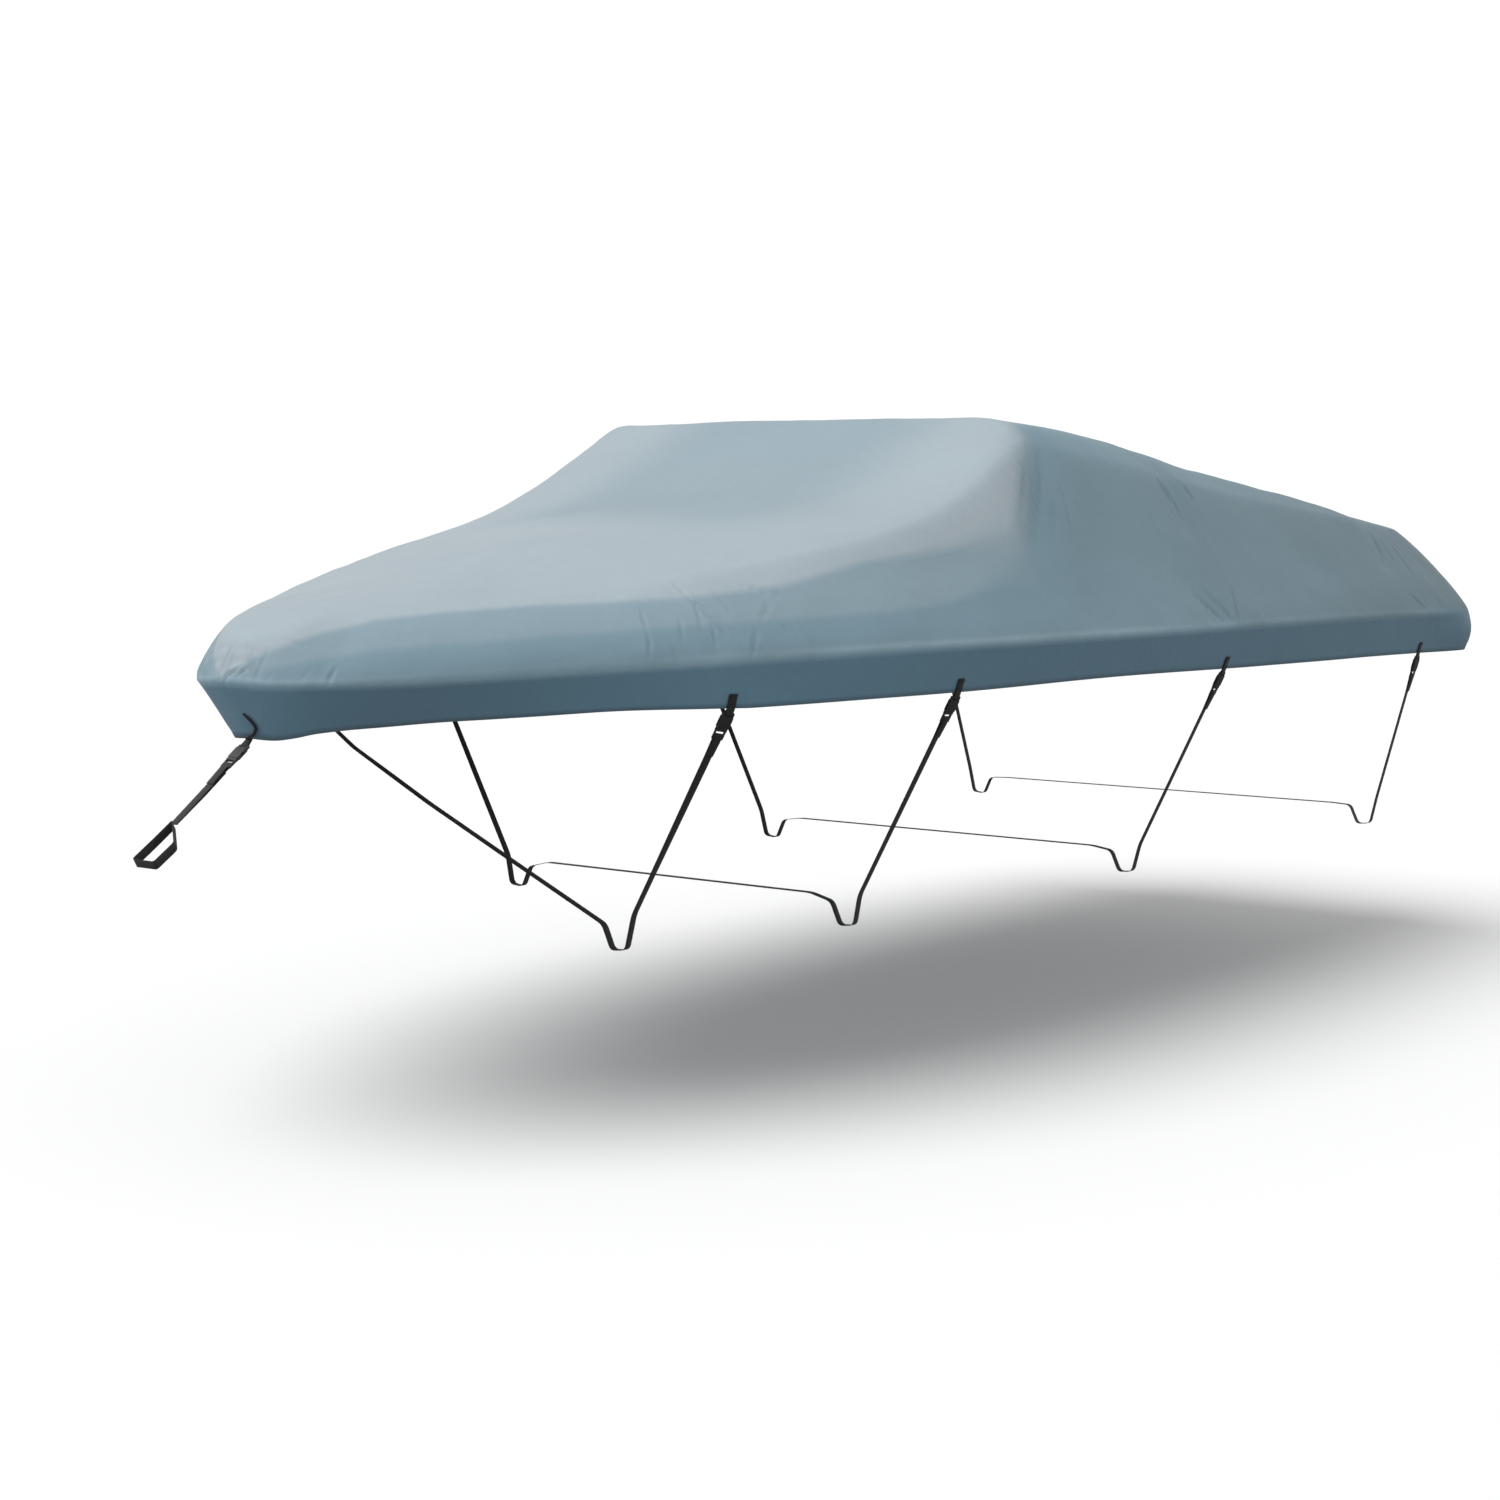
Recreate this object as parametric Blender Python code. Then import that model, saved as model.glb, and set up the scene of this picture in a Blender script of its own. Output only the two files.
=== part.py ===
"""Fitted cover, 5.5 m long: one cloth with a turned-under hem, four webbing tie-down straps that pass
below it from side to side, and a bow strap. Metres, +X towards the stern, +Y to starboard, +Z up.
The origin lies under the cloth at its highest part."""

import math

import bpy
import numpy as np

# ---------------------------------------------------------------- named sizes
CLOTH = 0.0020            # thickness of the coated cover cloth
WEB = 0.0016              # thickness of all webbing
STRAP_WIDTH = 0.025       # tie-down webbing
BOW_STRAP_WIDTH = 0.025   # bow webbing and its sling
PLY_SLACK = 0.0035        # how far the second ply of the bow strap stands off in the middle
CORD_RADIUS = 0.0042      # draw cord of the hem, where it shows at the stem
SEWN = 0.045              # length of webbing sewn flat on the skirt
GAP = 0.0005              # air between webbing and cloth
TAIL = 0.048              # free end of webbing below a buckle
RIDGE_BLEND = 0.055       # half width over which the long ridges of the roof are softened
CROSS_BLEND = 0.040       # the same for the crease that runs from side to side
ORIGIN_AFT = 2.55         # origin, behind the bow tip
SPINE_FROM = 0.40         # aft position where the rows of cloth meet on the centreline
SPINE_TO = 5.05
ROWS_TOP = 15             # mesh rows from the gunwale fold to the centreline
ROWS_SKIRT = 2            # mesh rows from the hem to the gunwale fold
ROW_POWER = 1.6           # closes the rows up towards the gunwale fold

# Outline of the gunwale fold, bow to stern, half of the cover.
# "up" is measured from the hem at the stern.
GUNWALE_COLUMNS = ("aft", "out", "up")
GUNWALE = (
    (0.000, 0.000, 0.122),
    (0.018, 0.085, 0.117),
    (0.075, 0.180, 0.113),
    (0.190, 0.305, 0.113),
    (0.380, 0.470, 0.121),
    (0.680, 0.695, 0.140),
    (1.080, 0.910, 0.158),
    (1.580, 1.065, 0.171),
    (2.180, 1.145, 0.174),
    (2.900, 1.170, 0.172),
    (3.600, 1.165, 0.171),
    (4.300, 1.150, 0.167),
    (4.900, 1.130, 0.158),
    (5.284, 1.112, 0.150),
    (5.454, 1.060, 0.147),
    (5.524, 0.930, 0.146),
    (5.544, 0.500, 0.146),
    (5.544, 0.000, 0.146),
)

# Skirt below the fold: how far the hem is drawn in, how far it hangs down, and how far the cloth
# between them bellies out.
SKIRT_COLUMNS = ("aft", "inset", "drop", "belly")
SKIRT = (
    (0.000, 0.087, 0.152, 0.000),
    (0.035, 0.088, 0.149, 0.000),
    (0.110, 0.110, 0.131, 0.000),
    (0.220, 0.124, 0.119, 0.000),
    (0.400, 0.108, 0.112, 0.000),
    (0.680, 0.070, 0.112, 0.000),
    (1.000, 0.052, 0.126, 0.000),
    (1.100, 0.052, 0.131, 0.000),
    (1.800, 0.052, 0.136, 0.000),
    (2.600, 0.052, 0.131, 0.000),
    (3.600, 0.052, 0.144, 0.000),
    (4.300, 0.050, 0.149, 0.000),
    (5.000, 0.043, 0.149, 0.000),
    (5.300, 0.026, 0.148, 0.010),
    (5.450, 0.012, 0.147, 0.017),
    (5.544, 0.012, 0.146, 0.017),
)

# Roof sections: height of the long ridge, extra height of the crown between the ridges, place of the
# ridge as a share of the half beam, height of the shoulder above the gunwale fold, width of the
# rounded side inside the fold, and how full that rounding is (1 flat, 2 round).
ROOF_COLUMNS = ("aft", "ridge", "crown", "share", "shoulder", "side", "bulge")
ROOF = (
    (0.000, 0.227, 0.000, 0.50, 0.05, 0.100, 2.00),
    (0.300, 0.302, 0.010, 0.50, 0.12, 0.140, 2.00),
    (0.650, 0.339, 0.030, 0.55, 0.16, 0.180, 1.80),
    (1.000, 0.397, 0.050, 0.62, 0.18, 0.200, 1.55),
    (1.400, 0.458, 0.060, 0.70, 0.20, 0.220, 1.38),
    (1.850, 0.538, 0.050, 0.76, 0.22, 0.240, 1.30),
    (2.150, 0.645, 0.040, 0.76, 0.24, 0.260, 1.28),
    (2.420, 0.796, 0.011, 0.735, 0.26, 0.280, 1.28),
    (2.500, 0.847, 0.003, 0.715, 0.26, 0.280, 1.28),
    (2.650, 0.825, 0.005, 0.70, 0.26, 0.280, 1.28),
    (3.100, 0.783, 0.020, 0.68, 0.26, 0.280, 1.28),
    (3.700, 0.697, 0.030, 0.66, 0.25, 0.280, 1.28),
    (4.300, 0.632, 0.030, 0.64, 0.24, 0.280, 1.28),
    (4.800, 0.576, 0.030, 0.62, 0.24, 0.280, 1.30),
    (5.150, 0.522, 0.030, 0.62, 0.24, 0.286, 1.31),
    (5.544, 0.477, 0.020, 0.62, 0.24, 0.300, 1.31),
)

# Mesh columns along the half outline: from, to (metres along the gunwale fold) and how many.
SPACING_COLUMNS = ("start", "end", "count")
SPACING = (
    (0.000, 0.060, 2),
    (0.060, 0.400, 5),
    (0.400, 1.362, 7),
    (1.362, 1.414, 1),
    (1.414, 2.184, 5),
    (2.184, 2.236, 1),
    (2.236, 2.560, 2),
    (2.560, 3.050, 5),
    (3.050, 3.687, 4),
    (3.687, 3.739, 1),
    (3.739, 5.303, 9),
    (5.303, 5.355, 1),
    (5.355, 5.600, 2),
    (5.600, 6.020, 7),
    (6.020, 9.000, 4),
)

# Main folds, as lines on the cloth. "along" runs down the gunwale fold from the bow, negative to
# port, "girth" up the cloth from that fold. A positive depth is a trough, a negative one a ridge.
FOLD_COLUMNS = ("along", "girth", "along_end", "girth_end", "half_width", "depth")
FOLDS = (
    (-2.59, 0.34, -2.90, 0.72, 0.100, -0.006),
    (-2.95, 0.66, -2.72, 0.33, 0.080, 0.010),
    (-1.85, 0.25, -2.54, 0.31, 0.110, 0.009),
    (-1.28, 0.30, -1.36, 0.07, 0.070, 0.008),
    (-1.14, 0.20, -1.14, 0.05, 0.070, -0.006),
    (-0.02, 0.03, -0.01, 0.18, 0.045, 0.006),
    (-0.10, 0.01, -0.10, 0.16, 0.050, 0.007),
    (-0.16, 0.02, -0.20, 0.20, 0.060, -0.006),
    (-0.28, 0.01, -0.34, 0.18, 0.070, 0.006),
    (-3.74, 0.58, -3.72, 0.38, 0.080, 0.010),
    (-3.50, 0.16, -3.66, 0.03, 0.090, 0.009),
    (-5.46, 0.46, -5.26, 0.24, 0.090, 0.010),
    (-4.45, 0.10, -5.50, 0.16, 0.100, -0.008),
    (2.60, 0.34, 2.90, 0.72, 0.100, -0.012),
    (2.96, 0.64, 2.74, 0.30, 0.080, 0.009),
    (1.40, 0.28, 1.30, 0.08, 0.075, 0.008),
    (0.05, 0.02, 0.04, 0.18, 0.050, 0.006),
    (0.22, 0.02, 0.28, 0.18, 0.060, -0.006),
    (3.30, 0.50, 3.40, 0.28, 0.090, 0.009),
    (4.30, 0.30, 4.12, 0.06, 0.090, 0.010),
    (5.40, 0.42, 5.20, 0.20, 0.090, 0.009),
    (6.30, 0.34, 6.22, 0.10, 0.090, 0.008),
    (-6.40, 0.30, -6.50, 0.08, 0.090, 0.008),
)

# Slow unevenness of the slack cloth: waves along the fold and up the cloth, phase and height.
SLACK_COLUMNS = ("per_metre_along", "per_metre_up", "phase", "height")
SLACK = (
    (0.90, 0.70, 0.40, 0.0030),
    (1.70, -1.30, 2.10, 0.0022),
    (2.60, 1.90, 4.30, 0.0014),
)

# Tie-down straps: station along the gunwale fold, then the three bends of the webbing below the
# cover ("out" from the centreline, "up" from the stern hem), and the level at which it crosses to
# the other side.
STRAP_COLUMNS = ("along", "top_out", "top_up", "foot_out", "foot_up", "inner_out", "inner_up", "cross_up")
STRAPS = (
    (1.388, 0.496, -0.565, 0.470, -0.667, 0.418, -0.672, -0.585),
    (2.210, 0.714, -0.582, 0.696, -0.674, 0.644, -0.679, -0.590),
    (3.713, 0.812, -0.579, 0.787, -0.671, 0.735, -0.676, -0.595),
    (5.329, 0.932, -0.552, 0.908, -0.654, 0.856, -0.659, -0.585),
)

# The foremost strap rises straight to the far hem: out to starboard, up.
RISE_COLUMNS = ("out", "up")
RISE = (
    (-0.068, -0.467),
    (0.300, -0.309),
    (0.620, -0.160),
    (0.790, -0.055),
)

# Bow strap, on the centreline: bar of the buckle, apex of the sling, and the corners of the square
# loop that the sling makes.
BOW_BAR = (0.074, -0.051)
BOW_APEX = (-0.165, -0.230)
SLING_BACK = (-0.192, -0.280)
SLING_FRONT = (-0.257, -0.322)
SLING_HALF = 0.041
SLING_AXIS = (0.467, -0.884)

# Draw cord on the port skirt near the stem: place along the hem line and share of the skirt's depth.
CORD_COLUMNS = ("along", "share")
CORD_PATH = (
    (0.040, 0.52),
    (0.058, 0.62),
    (0.070, 0.76),
    (0.050, 0.90),
)

# Side-release buckle for the tie-down webbing; "down" runs along the strap from the fixed bar.
BAR_RADIUS = 0.0025
SOCKET_FROM = 0.0068
SOCKET_TO = 0.0480
SOCKET_HALF = 0.0285
SOCKET_THICK = 0.0125
MOUTH_FROM = 0.0140
MOUTH_HALF = 0.0230
MOUTH_THICK = 0.0062
WINDOW_FROM = 0.0215
WINDOW_TO = 0.0385
PLUG_FROM = 0.0484
PLUG_TO = 0.0570
PLUG_HALF = 0.0265
PLUG_THICK = 0.0105
PRONG_IN = 0.0100
PRONG_OUT = 0.0185
PRONG_THICK = 0.0050
BARB_FROM = 0.0235
BARB_TO = 0.0360
BARB_OUT = 0.0262
GUIDE_HALF = 0.0035
GUIDE_FROM = 0.0200
LADDER_TO = 0.0840
LADDER_BAR = 0.0700
ARM_IN = 0.0205
BUCKLE_SHAPE = (0.66, 0.97, 0.90)


# ---------------------------------------------------------------- small tools
def clear_scene():
    for item in list(bpy.data.objects):
        bpy.data.objects.remove(item)


def column(table, names, name):
    place = names.index(name)
    return np.array([row[place] for row in table], float)


def smooth(xs, ys, at):
    """Monotone cubic through (xs, ys), read at the given places."""
    xs = np.asarray(xs, float)
    ys = np.asarray(ys, float)
    step = np.diff(xs)
    slope = np.diff(ys) / step
    tangent = np.zeros(len(xs))
    for i in range(1, len(xs) - 1):
        if slope[i - 1] * slope[i] > 0.0:
            a = 2.0 * step[i] + step[i - 1]
            b = step[i] + 2.0 * step[i - 1]
            tangent[i] = (a + b) / (a / slope[i - 1] + b / slope[i])
    tangent[0] = slope[0]
    tangent[-1] = slope[-1]
    at = np.asarray(at, float)
    i = np.clip(np.searchsorted(xs, at) - 1, 0, len(xs) - 2)
    t = (at - xs[i]) / step[i]
    a = (1.0 + 2.0 * t) * (1.0 - t) ** 2
    b = t * (1.0 - t) ** 2
    c = t * t * (3.0 - 2.0 * t)
    d = t * t * (t - 1.0)
    return a * ys[i] + b * step[i] * tangent[i] + c * ys[i + 1] + d * step[i] * tangent[i + 1]


def unit(vector):
    vector = np.asarray(vector, float)
    return vector / np.linalg.norm(vector)


def material(name, colour, roughness):
    made = bpy.data.materials.new(name)
    made.use_nodes = True
    shader = made.node_tree.nodes["Principled BSDF"]
    shader.inputs["Base Color"].default_value = (*colour, 1.0)
    shader.inputs["Roughness"].default_value = roughness
    return made


def add_object(name, vertices, faces, made_of):
    mesh = bpy.data.meshes.new(name)
    mesh.from_pydata([tuple(map(float, v)) for v in vertices], [], [tuple(map(int, f)) for f in faces])
    mesh.validate()
    mesh.update()
    mesh.materials.append(made_of)
    made = bpy.data.objects.new(name, mesh)
    bpy.context.scene.collection.objects.link(made)
    return made


# ---------------------------------------------------------------- shape of the cover
LENGTH = GUNWALE[-1][0]
AFT = column(GUNWALE, GUNWALE_COLUMNS, "aft")
OUT = column(GUNWALE, GUNWALE_COLUMNS, "out")
UP = column(GUNWALE, GUNWALE_COLUMNS, "up")
ALONG = np.concatenate([[0.0], np.cumsum(np.hypot(np.diff(AFT), np.diff(OUT)))])
HALF_LOOP = ALONG[-1]
LAST_SIDE_ROW = 14        # rows of GUNWALE before the stern corner turns in


def mirrored(values, sign):
    """The column with three rows reflected past the bow and past the stern, so its ends stay smooth."""
    return np.concatenate([sign * values[3:0:-1], values, sign * values[-2:-5:-1]])


LOOP_KEYS = np.concatenate([-ALONG[3:0:-1], ALONG, 2.0 * HALF_LOOP - ALONG[-2:-5:-1]])


def gunwale(along):
    """Points of the starboard half of the gunwale fold, for distances along it from the bow."""
    aft = smooth(LOOP_KEYS, mirrored(AFT, 1.0), along)
    out = smooth(LOOP_KEYS, mirrored(OUT, -1.0), along)
    up = smooth(LOOP_KEYS, mirrored(UP, 1.0), along)
    return np.stack([aft, out, up], -1)


def inward(along):
    """Level direction into the cover, square to the gunwale fold."""
    step = 0.004
    ahead = gunwale(along + step) - gunwale(along - step)
    length = np.hypot(ahead[:, 0], ahead[:, 1])
    return np.stack([ahead[:, 1] / length, -ahead[:, 0] / length, np.zeros(len(length))], -1)


def roof_height(aft, out):
    """Height of the draped roof, softened over its ridges and over the crease from side to side."""
    total = np.zeros(len(aft))
    key = column(ROOF, ROOF_COLUMNS, "aft")
    side_aft = np.append(AFT[:LAST_SIDE_ROW], LENGTH + 0.3)
    side_out = np.append(OUT[:LAST_SIDE_ROW], 1.08)
    side_up = np.append(UP[:LAST_SIDE_ROW], 0.146)
    steps = ((-1.0, 0.125), (-0.5, 0.25), (0.0, 0.25), (0.5, 0.25), (1.0, 0.125))
    for shift, weight in steps:
        x = np.clip(aft + shift * CROSS_BLEND, 0.0, LENGTH)
        beam = np.maximum(smooth(side_aft, side_out, x), 0.02)
        fold_up = smooth(side_aft, side_up, x)
        ridge = smooth(key, column(ROOF, ROOF_COLUMNS, "ridge"), x)
        crown = smooth(key, column(ROOF, ROOF_COLUMNS, "crown"), x)
        ridge_out = smooth(key, column(ROOF, ROOF_COLUMNS, "share"), x) * beam
        shoulder = fold_up + smooth(key, column(ROOF, ROOF_COLUMNS, "shoulder"), x)
        for slip, share in steps:
            y = np.abs(np.abs(out) + slip * RIDGE_BLEND * np.minimum(1.0, beam / 0.6))
            inside = ridge + crown * (1.0 - (y / ridge_out) ** 2)
            fall = np.clip((y - ridge_out) / (beam - ridge_out), 0.0, 1.3)
            outside = ridge - (ridge - shoulder) * fall
            total += weight * share * np.where(y < ridge_out, inside, outside)
    return total


def spine_aft(along):
    """Where the row of cloth that starts at this place on the fold meets the centreline."""
    share = ALONG / HALF_LOOP
    keys = 0.93 * (SPINE_FROM + (SPINE_TO - SPINE_FROM) * AFT / LENGTH)
    keys = keys + 0.07 * (SPINE_FROM + (SPINE_TO - SPINE_FROM) * share) + 0.0001 * share
    return smooth(ALONG, keys, along)


def top_point(along, share):
    """Cloth above the fold: share 0 at the gunwale fold, 1 on the centreline."""
    fold = gunwale(along)
    key = column(ROOF, ROOF_COLUMNS, "aft")
    aft = (1.0 - share) * fold[:, 0] + share * spine_aft(along)
    out = (1.0 - share) * fold[:, 1]
    into = inward(along)
    reach = np.abs((aft - fold[:, 0]) * into[:, 0] + (out - fold[:, 1]) * into[:, 1])
    at = np.clip(fold[:, 0], 0.0, LENGTH)
    side = smooth(key, column(ROOF, ROOF_COLUMNS, "side"), at)
    bulge = smooth(key, column(ROOF, ROOF_COLUMNS, "bulge"), at)
    left = 1.0 - np.clip(reach / side, 0.0, 1.0)
    rise = np.clip(1.0 - left ** bulge, 0.0, 1.0) ** (1.0 / bulge)
    up = fold[:, 2] + rise * (roof_height(aft, out) - fold[:, 2])
    return np.stack([aft, out, up], -1)


def skirt_point(along, share):
    """Cloth below the fold: share 0 at the gunwale fold, 1 at the hem."""
    fold = gunwale(along)
    key = column(SKIRT, SKIRT_COLUMNS, "aft")
    at = np.clip(fold[:, 0], 0.0, LENGTH)
    inset = smooth(key, column(SKIRT, SKIRT_COLUMNS, "inset"), at)
    drop = smooth(key, column(SKIRT, SKIRT_COLUMNS, "drop"), at)
    belly = smooth(key, column(SKIRT, SKIRT_COLUMNS, "belly"), at)
    inset = inset * share - belly * np.sin(math.pi * share)
    point = fold + inward(along) * inset[:, None]
    point[:, 2] = point[:, 2] - drop * share
    return point


def half_stations():
    places = []
    for start, end, count in SPACING:
        end = min(end, HALF_LOOP)
        for i in range(count):
            places.append(start + (end - start) * i / count)
    places.append(HALF_LOOP)
    return np.array(places)


def fold_depth(along, girth):
    """How far the main folds and the slack push the cloth in, at signed places on it."""
    depth = np.zeros(np.shape(along))
    for row in FOLDS:
        start = np.array(row[0:2])
        run = np.array(row[2:4]) - start
        length = float(np.hypot(*run))
        along_part = ((along - start[0]) * run[0] + (girth - start[1]) * run[1]) / length ** 2
        nearest = np.clip(along_part, 0.0, 1.0)
        off = np.hypot(along - start[0] - nearest * run[0], girth - start[1] - nearest * run[1])
        depth = depth + row[5] * np.exp(-((off / row[4]) ** 2) * 2.0)
    for rate, climb, phase, height in SLACK:
        depth = depth + height * np.sin(2.0 * math.pi * (rate * along + climb * girth) + phase)
    return depth


def cover_grid():
    """Outer points of the cover: columns round the loop, rows from the hem to the centreline."""
    half = half_stations()
    last = len(half) - 1
    rows = []
    for j in range(ROWS_SKIRT):
        rows.append(skirt_point(half, np.full(len(half), 1.0 - j / ROWS_SKIRT)))
    shares = (np.arange(ROWS_TOP + 1) / ROWS_TOP) ** ROW_POWER
    for share in shares:
        rows.append(top_point(half, np.full(len(half), share)))
    starboard = np.stack(rows, 1)
    port = starboard.copy()
    port[:, :, 1] *= -1.0
    # Columns run from the bow down the port side, over the stern and back up the starboard side.
    grid = np.concatenate([port, starboard[last - 1:0:-1]], 0)
    along = np.concatenate([-half, half[last - 1:0:-1]])
    steps = np.linalg.norm(np.diff(grid[:, ROWS_SKIRT:], axis=1), axis=2)
    girth = np.concatenate([np.zeros((len(grid), 1)), np.cumsum(steps, axis=1)], 1)
    return grid, along, girth, last


def cover_faces(columns, last):
    """Quads of one skin, with the centreline shared by both sides. Returns index grid and faces."""
    rows = ROWS_SKIRT + ROWS_TOP + 1
    index = np.zeros((columns, rows), int)
    count = 0
    for i in range(columns):
        for j in range(rows - 1):
            index[i, j] = count
            count += 1
    for i in range(last + 1):
        index[i, rows - 1] = count
        if 0 < i < last:
            index[columns - i, rows - 1] = count
        count += 1
    faces = []
    for i in range(columns):
        k = (i + 1) % columns
        for j in range(rows - 1):
            faces.append((index[i, j], index[k, j], index[k, j + 1], index[i, j + 1]))
    return index, faces, count


def skin_normals(points, faces):
    normals = np.zeros_like(points)
    for a, b, c, d in faces:
        normal = np.cross(points[c] - points[a], points[d] - points[b])
        for corner in (a, b, c, d):
            normals[corner] += normal
    return normals / np.linalg.norm(normals, axis=1)[:, None]


def build_cover():
    grid, along, girth, last = cover_grid()
    columns = len(grid)
    index, faces, count = cover_faces(columns, last)
    points = np.zeros((count, 3))
    points[index.ravel()] = grid.reshape(-1, 3)
    normals = skin_normals(points, faces)
    if normals[index[0, ROWS_SKIRT + ROWS_TOP]][2] < 0.0:
        normals = -normals
    press = np.zeros(count)
    fade = np.clip(girth / 0.03, 0.0, 1.0)
    ahead = fold_depth(np.broadcast_to(along[:, None], girth.shape), girth) * fade
    for i in range(columns):
        for j in range(1, ROWS_TOP + 1):
            press[index[i, ROWS_SKIRT + j]] = ahead[i, j]
    for i in range(1, last):
        other = columns - i
        press[index[i, -1]] = 0.5 * (ahead[i, -1] + ahead[other, -1])
    outer = points - normals * press[:, None]
    normals = skin_normals(outer, faces)
    if normals[index[0, ROWS_SKIRT + ROWS_TOP]][2] < 0.0:
        normals = -normals
    inner = outer - normals * CLOTH
    # Both skins are split along the same diagonals, so the cloth keeps its thickness in between.
    solid = []
    for a, b, c, d in faces:
        if np.linalg.norm(outer[a] - outer[c]) <= np.linalg.norm(outer[b] - outer[d]):
            halves = ((a, b, c), (a, c, d))
        else:
            halves = ((a, b, d), (b, c, d))
        for half in halves:
            solid.append(half)
            solid.append(tuple(count + corner for corner in reversed(half)))
    for i in range(columns):
        k = (i + 1) % columns
        solid.append((index[k, 0], index[i, 0], count + index[i, 0], count + index[k, 0]))
    return np.concatenate([outer, inner]), solid


# ---------------------------------------------------------------- webbing, cord and buckles
def rounded(corners, radius, pieces):
    """The broken line with its corners eased over the given length each way."""
    corners = [np.asarray(c, float) for c in corners]
    path = [corners[0]]
    for before, here, after in zip(corners, corners[1:], corners[2:]):
        reach = min(radius, 0.45 * np.linalg.norm(here - before), 0.45 * np.linalg.norm(after - here))
        start = here + unit(before - here) * reach
        end = here + unit(after - here) * reach
        for i in range(pieces + 1):
            t = i / pieces
            path.append((1 - t) ** 2 * start + 2 * t * (1 - t) * here + t * t * end)
    path.append(corners[-1])
    return np.array(path)


def ribbon(path, across, width, thick, closed=False):
    """Closed flat band along a path. "across" is the direction of its width at each point."""
    path = np.asarray(path, float)
    count = len(path)
    across = np.broadcast_to(np.asarray(across, float), path.shape)
    vertices = []
    for i in range(count):
        wide = unit(across[i])
        if closed:
            back = path[i] - path[i - 1]
            ahead = path[(i + 1) % count] - path[i]
        else:
            back = path[i] - path[max(i - 1, 0)]
            ahead = path[min(i + 1, count - 1)] - path[i]
            if i == 0:
                back = ahead
            if i == count - 1:
                ahead = back
        first = unit(np.cross(back, wide))
        second = unit(np.cross(ahead, wide))
        normal = unit(first + second)
        normal = normal / max(float(normal @ first), 0.5)
        for side, face in ((-1, -1), (1, -1), (1, 1), (-1, 1)):
            vertices.append(path[i] + wide * side * width / 2 + normal * face * thick / 2)
    faces = []
    for i in range(count if closed else count - 1):
        a = 4 * i
        b = 4 * ((i + 1) % count)
        for k in range(4):
            m = (k + 1) % 4
            faces.append((a + k, a + m, b + m, b + k))
    if not closed:
        faces.append((3, 2, 1, 0))
        tip = 4 * (count - 1)
        faces.append((tip, tip + 1, tip + 2, tip + 3))
    return vertices, faces


def box(low, high):
    (a, b, c), (d, e, f) = low, high
    vertices = [(a, b, c), (d, b, c), (d, e, c), (a, e, c), (a, b, f), (d, b, f), (d, e, f), (a, e, f)]
    faces = [(0, 3, 2, 1), (4, 5, 6, 7), (0, 1, 5, 4), (1, 2, 6, 5), (2, 3, 7, 6), (3, 0, 4, 7)]
    return vertices, faces


def plate(outline, thick):
    """Flat piece with the given outline in (across, down), centred on its thickness."""
    count = len(outline)
    vertices = [(x, y, -thick / 2) for x, y in outline] + [(x, y, thick / 2) for x, y in outline]
    faces = [tuple(reversed(range(count))), tuple(range(count, 2 * count))]
    for i in range(count):
        k = (i + 1) % count
        faces.append((i, k, count + k, count + i))
    return vertices, faces


def rounded_outline(half, start, end, radius):
    """Rectangle in (across, down) with clipped corners."""
    return [
        (-half + radius, start),
        (half - radius, start),
        (half, start + radius),
        (half, end - radius),
        (half - radius, end),
        (-half + radius, end),
        (-half, end - radius),
        (-half, start + radius),
    ]


def bar(centre, half, radius, sides=10):
    """Round bar across the buckle."""
    vertices = []
    for x in (-half, half):
        for i in range(sides):
            turn = 2.0 * math.pi * (i + 0.5) / sides
            vertices.append((x, centre + radius * math.cos(turn), radius * math.sin(turn)))
    faces = [tuple(range(sides)), tuple(reversed(range(sides, 2 * sides)))]
    for i in range(sides):
        k = (i + 1) % sides
        faces.append((k, i, sides + i, sides + k))
    return vertices, faces


def joined(name, base, steps):
    """Applies the listed unions and cuts to the base piece and returns the resulting mesh."""
    scratch = bpy.data.materials.new("scratch")
    body = add_object(name, *base, scratch)
    helpers = []
    for number, (kind, piece) in enumerate(steps):
        helper = add_object(name + "_tool_" + str(number), *piece, scratch)
        helpers.append(helper)
        change = body.modifiers.new("step_" + str(number), "BOOLEAN")
        change.operation = kind
        change.solver = "EXACT"
        change.object = helper
    graph = bpy.context.evaluated_depsgraph_get()
    mesh = bpy.data.meshes.new_from_object(body.evaluated_get(graph))
    vertices = np.array([v.co[:] for v in mesh.vertices])
    faces = [tuple(p.vertices) for p in mesh.polygons]
    for helper in helpers:
        bpy.data.objects.remove(helper)
    bpy.data.objects.remove(body)
    bpy.data.materials.remove(scratch)
    return vertices, faces


def socket_mesh():
    half = SOCKET_HALF
    body = plate(rounded_outline(half, SOCKET_FROM, SOCKET_TO, 0.004), SOCKET_THICK)
    arm = 0.0035
    left = box((-half + 0.001, -arm, -0.004), (-ARM_IN, SOCKET_FROM + 0.002, 0.004))
    right = box((ARM_IN, -arm, -0.004), (half - 0.001, SOCKET_FROM + 0.002, 0.004))
    mouth = box((-MOUTH_HALF, MOUTH_FROM, -MOUTH_THICK / 2), (MOUTH_HALF, SOCKET_TO + 0.01, MOUTH_THICK / 2))
    window_left = box((-half - 0.01, WINDOW_FROM, -MOUTH_THICK / 2), (-0.016, WINDOW_TO, MOUTH_THICK / 2))
    window_right = box((0.016, WINDOW_FROM, -MOUTH_THICK / 2), (half + 0.01, WINDOW_TO, MOUTH_THICK / 2))
    steps = (
        ("UNION", left),
        ("UNION", right),
        ("UNION", bar(0.0, ARM_IN + 0.002, BAR_RADIUS)),
        ("DIFFERENCE", mouth),
        ("DIFFERENCE", window_left),
        ("DIFFERENCE", window_right),
    )
    return joined("socket", body, steps)


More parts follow.
